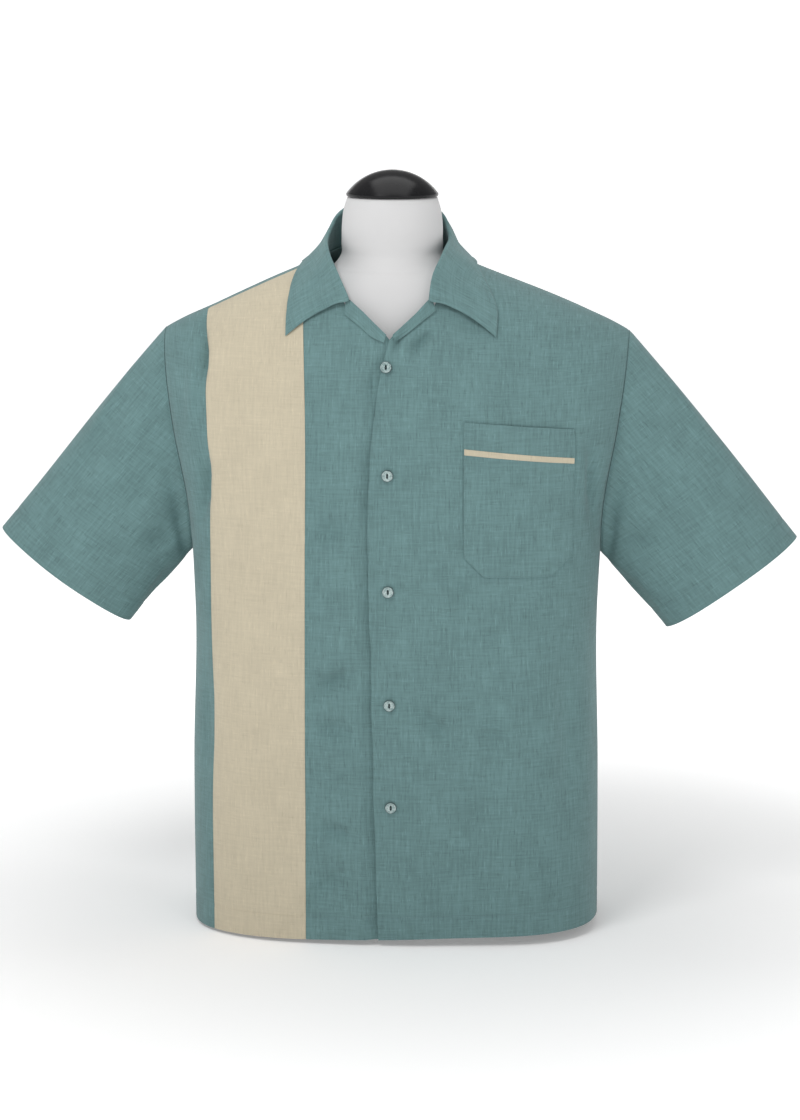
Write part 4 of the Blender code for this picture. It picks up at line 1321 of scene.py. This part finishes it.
left_cuff = cuff_row(sleeve_grid, sleeve_normal, sleeve_from_cuff)
right_cuff = cuff_row(right_grid, right_normal, right_from_cuff)
cuff_stitches_left = stitches("cuff_stitches_left", [left_cuff], teal_thread)
cuff_stitches_right = stitches("cuff_stitches_right", [right_cuff], teal_thread)


def pocket_stitches():
    """Down one side of the pocket, across its foot and up the other, 1.6 mm from the edge."""
    aside = POCKET_STITCH_INSET / POCKET_WIDE
    cut = POCKET_CHAMFER / POCKET_DEEP
    low = POCKET_STITCH_INSET / POCKET_DEEP
    up = np.concatenate([np.linspace(0.985, cut, 60), np.linspace(cut, low, 14)[1:], np.full(40, low)])
    across = np.concatenate([np.full(73, aside), np.linspace(aside, 1 - aside, 42)[1:-1]])
    up = np.concatenate([up, np.linspace(low, cut, 14), np.linspace(cut, 0.985, 60)[1:]])
    across = np.concatenate([across, np.full(73, 1 - aside)])
    path, normal = pocket_face(up, across)
    return stitches("pocket_stitches", [stitch_row(path, normal, 0.0028, 0.0019, 0.00024)], teal_thread)


pocket_seam = pocket_stitches()
print("stitches", len(hem_stitches.data.polygons), len(cuff_stitches_left.data.polygons))

# %% [markdown]
# ## Buttons
# Each button is a small polished disc: a rounded rim, a shallow well, and in it two holes one above
# the other, drawn together by the thread. The upper face is a height over rings and spokes, so rim,
# well and holes are one formula.

# %% Buttons
BUTTON_SPOTS = (
    (-0.0035, 0.6825),
    (-0.0010, 0.5600),
    (0.0000, 0.4257),
    (0.0016, 0.2922),
    (0.0033, 0.1700),
)
BUTTON_RADIUS = 0.0069
BUTTON_THICK = 0.0026
HOLE_APART = 0.00135
HOLE_RADIUS = 0.00085
WELL_DEPTH = 0.00075
HOLE_DEPTH = 0.0012
THREAD_SLOT = 0.00042
SLOT_DEPTH = 0.00035
BUTTON_SPOKES = 56
STRAND_RADIUS = 0.00024


def button_height(share, x, y):
    """Rim rolled over at the outside, well in the middle, and two round pits with a groove between."""
    rim = np.sqrt(np.clip(1 - (np.clip(share - 0.84, 0, 1) / 0.16) ** 2, 0, 1))
    well = ease((0.80 - share) / 0.16)
    height = BUTTON_THICK * (0.42 + 0.58 * rim) - WELL_DEPTH * well
    for middle in (-HOLE_APART, HOLE_APART):
        near = np.hypot(x, y - middle) / HOLE_RADIUS
        height = height - HOLE_DEPTH / (1 + np.exp((near - 1) * 9))
    slot_gap = np.hypot(x, np.clip(np.abs(y) - HOLE_APART, 0, None)) / THREAD_SLOT
    return height - SLOT_DEPTH / (1 + np.exp((slot_gap - 1) * 6))


def make_button(number, x, z):
    """Upper face as rings of height, a straight side, a flat back, laid on the left front."""
    angle = ring_angles(BUTTON_SPOKES)
    rim_shares = 1 - np.linspace(0, 0.16, 8)[1:] ** 1.3
    shares = np.concatenate([[1.0, 1.0], rim_shares, np.linspace(0.82, 0.04, 30)])
    across = shares[:, None] * BUTTON_RADIUS * np.cos(angle)
    upward = shares[:, None] * BUTTON_RADIUS * np.sin(angle)
    height = button_height(shares[:, None] + 0 * angle, across, upward)
    height[0] = 0.0004
    back_ring = np.stack([0.85 * across[:1], 0.85 * upward[:1], np.zeros((1, BUTTON_SPOKES))], axis=-1)
    rings = np.concatenate([back_ring, np.stack([across, upward, height], axis=-1)])
    turn, rise = locate(np.array(x), np.array(z))
    normal = outward(torso, turn, rise)
    way = np.array(Vector(normal).to_track_quat("Z", "Y").to_matrix())
    place = torso(turn, rise) + normal * (LAY_ON + 0.0004 + float(hang(turn, rise)))
    rings = rings @ way.T + place
    local = np.stack([across, upward], axis=-1) / BUTTON_RADIUS
    local = np.concatenate([local[:1], local])
    button = closed_rings(f"shirt_button_{number}", rings, pearl_button, SHARP_ANGLE, local)
    length = 2 * HOLE_APART
    path = np.array([[0.00005 * i, (i / 4 - 0.5) * length, 0.0] for i in range(5)])
    up = np.tile(normal, (5, 1))
    strands = []
    for shift in (-0.00022, 0.00022):
        line = path + np.array([shift, 0.0, BUTTON_THICK - 0.00105])
        line[[0, -1], 2] -= 0.0005
        strands.append(stitch_row(line @ way.T + place, up, length, length * 0.98, STRAND_RADIUS))
    threads = stitches(f"button_thread_{number}", strands, dark_thread)
    return button, threads


buttons = [make_button(number, x, z) for number, (x, z) in enumerate(BUTTON_SPOTS, start=1)]
print("button faces", len(buttons[0][0].data.polygons))

# %% [markdown]
# ## Dress form and cap
# The form is a smooth shell turned from a table of sections, with a fine ring at the root of the neck
# where its cover is joined. The cap is a turned disc: a small rounded lip and a low dome.

# %% Form and cap
FORM_SECTIONS = (
    (0.0000, 0.1660, 0.1060, 0.0980, 2.3, 0.0),
    (0.0600, 0.1730, 0.1110, 0.1040, 2.3, 0.0),
    (0.1800, 0.1700, 0.1090, 0.1010, 2.3, 0.0),
    (0.3200, 0.1580, 0.1040, 0.0930, 2.2, 0.0),
    (0.4500, 0.1690, 0.1130, 0.1020, 2.2, 0.0),
    (0.5600, 0.1830, 0.1190, 0.1090, 2.2, 0.0),
    (0.6400, 0.1970, 0.1130, 0.1100, 2.1, 0.0),
    (0.6950, 0.2030, 0.1020, 0.1030, 2.0, 0.0),
    (0.7250, 0.1950, 0.0940, 0.0960, 2.0, 0.0),
    (0.7450, 0.1740, 0.0870, 0.0900, 2.0, -0.0005),
    (0.7620, 0.1420, 0.0800, 0.0850, 2.0, -0.0010),
    (0.7750, 0.1040, 0.0740, 0.0780, 2.0, -0.0020),
    (0.7870, 0.0740, 0.0670, 0.0680, 2.0, -0.0035),
    (0.8000, 0.0610, 0.0600, 0.0600, 2.0, -0.0045),
    (0.8150, 0.0595, 0.0575, 0.0580, 2.0, -0.0050),
    (0.8350, 0.0590, 0.0560, 0.0565, 2.0, -0.0050),
    (0.8550, 0.0565, 0.0535, 0.0545, 2.0, -0.0050),
    (0.8680, 0.0525, 0.0505, 0.0515, 2.0, -0.0050),
)
NECK_RING = 0.7860
CAP_ASIDE = -0.0050
CAP_HALF_WIDTH = 0.0540
CAP_HALF_DEPTH = 0.0520
CAP_BOTTOM = 0.8683
CAP_RIM = 0.0035
CAP_DOME = 0.0275


def make_form():
    """Rings of squared ovals up the table, plus a bell-shaped bead at the neck ring."""
    below, neck_part = np.linspace(0.006, 0.74, 70), np.linspace(0.742, 0.864, 70)
    heights = np.concatenate([[0.0, 0.0006, 0.002], below, neck_part, [0.8665, 0.8680]])
    columns = read_table(FORM_SECTIONS, heights)
    half_width, front, rear, squareness, aside = (column[:, None] for column in columns)
    turn = ring_angles(128)[None, :]
    depth = np.where(np.cos(turn) > 0, front, rear)
    radius = oval_radius(turn, half_width, depth, squareness)
    radius = radius + 0.0006 * bell(heights[:, None] - NECK_RING, 0.0012)
    radius[0] -= 0.0020
    radius[1] -= 0.0010
    radius[-1] -= 0.0012
    points = [aside + radius * np.sin(turn), -radius * np.cos(turn), heights[:, None] + 0 * turn]
    return closed_rings("form_shell", np.stack(points, axis=-1), form_cover, SHARP_ANGLE)


def make_cap():
    """Lip and dome: rings whose height follows a circle through the rim and the top."""
    ball = (CAP_HALF_WIDTH**2 + CAP_DOME**2) / (2 * CAP_DOME)
    scales = np.cos(np.linspace(0, 1.53, 34))
    drop = ball - np.sqrt(ball**2 - (scales * CAP_HALF_WIDTH) ** 2)
    lip = np.array([0.955, 0.985, 0.996, 1.0])
    lip_heights = CAP_BOTTOM + CAP_RIM * np.array([0.0, 0.12, 0.3, 0.55])
    sizes = np.concatenate([lip, scales])
    heights = np.concatenate([lip_heights, CAP_BOTTOM + CAP_RIM + CAP_DOME - drop])
    sizes, heights = sizes[:, None], heights[:, None]
    angle = ring_angles(96)
    x = CAP_ASIDE + sizes * CAP_HALF_WIDTH * np.sin(angle)
    y = -sizes * CAP_HALF_DEPTH * np.cos(angle)
    rings = np.stack([x, y, heights + 0 * angle], axis=-1)
    return closed_rings("neck_cap", rings, cap_lacquer, SHARP_ANGLE)


form_shell = make_form()
neck_cap = make_cap()
print("form", len(form_shell.data.polygons), "cap", len(neck_cap.data.polygons))

# %% [markdown]
# ## Floor
# A plain pale floor runs out to a low curved rim, the cove of a studio. Its emission is painted light: a
# glow, weak near the form and strong from about a metre out, so the floor is white there, and a soft
# shadow stays round the form.

# %% Floor
COVE_RADIUS = 9.0
COVE_REACH = 6.0
COVE_HEIGHT = 5.0
COVE_SPOKES = 72
BELOW_FORM = 0.0002
floor_finish = Finish("floor", Roughness=0.9, Specular_IOR_Level=0.1, Emission_Strength=1.0)
floor_place = floor_finish.node("TexCoord", output="Object")
floor_tone = floor_finish.noise(floor_place, 0.5)
from_form = floor_finish.node("VectorMath", {"operation": "LENGTH"}, output="Value", i0=floor_place)
# painted light: the floor glows, 0.20 near the form and 0.74 far from it
painted_glow = from_form.between(0.30, 1.3)
floor_finish.set(
    Base_Color=floor_finish.mix(floor_tone, colour(0.84, 0.84, 0.84), colour(0.86, 0.86, 0.86)),
    Emission_Color=floor_finish.mix(painted_glow, colour(0.20, 0.20, 0.20), colour(0.74, 0.74, 0.74)),
)


def cove_floor():
    """Rings of a flat disc that turns up in a quarter wave to its rim, seen from above and inside."""
    out = COVE_RADIUS + COVE_REACH * np.linspace(0, 1, 18)[1:]
    radius = np.concatenate([np.linspace(0.4, COVE_RADIUS, 14), out])[:, None]
    past = np.clip((radius - COVE_RADIUS) / COVE_REACH, 0, 1)
    height = COVE_HEIGHT * (1 - np.cos(QUARTER * past)) - BELOW_FORM
    angle = ring_angles(COVE_SPOKES)
    rings = np.stack([radius * np.cos(angle), radius * np.sin(angle), height + 0 * angle], axis=-1)
    grid = np.arange(rings.size // 3).reshape(-1, COVE_SPOKES)
    wide = np.hstack([grid, grid[:, :1]])
    fan = np.stack([wide[0, :-1], wide[0, 1:], np.full(COVE_SPOKES, grid.size)], axis=1)
    points = np.concatenate([rings.reshape(-1, 3), [[0.0, 0.0, -BELOW_FORM]]])
    return make_mesh("floor", points, [quads_of(wide)[:, ::-1], fan], floor_finish.material)


floor = cove_floor()
print("floor faces", len(floor.data.polygons))

# %% [markdown]
# ## Joining the frame
# Every piece rides on the one rigid body. Each finished piece takes the place of its plain solid, and
# the area of every sheet of cloth is printed.

CLOTHS = (
    front_left, front_centre, front_contrast, front_side, back, sleeve_left, sleeve_right,
    collar, facing_left, facing_right, pocket, pocket_trim,
)


def linen_slot(piece):
    return "cream_linen" if piece in (front_contrast, pocket_trim) else "teal_linen"


REPLACED = (
    *((piece, piece.name.removeprefix("cloth_"), linen_slot(piece)) for piece in CLOTHS),
    (form_shell, "form_body", "form_cover"),
    (neck_cap, "form_cap", "cap_lacquer"),
    *((pair[0], f"button_{i}", "pearl_button") for i, pair in enumerate(buttons, start=1)),
)
for piece, node, finish_slot in REPLACED:
    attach(piece, "root")
    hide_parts(node)
teal_threads = [hem_stitches, cuff_stitches_left, cuff_stitches_right, pocket_seam]
for piece in [*teal_threads, *(pair[1] for pair in buttons)]:
    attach(piece, "root")
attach(contrast_stitches, "root")


# %% Measure the sheets
def cloth_area(piece):
    """Half the area of a shell, which is the area of its cloth."""
    return sum(polygon.area for polygon in piece.data.polygons) / 2


for piece in CLOTHS:
    print(piece.name, "area", round(cloth_area(piece), 4))
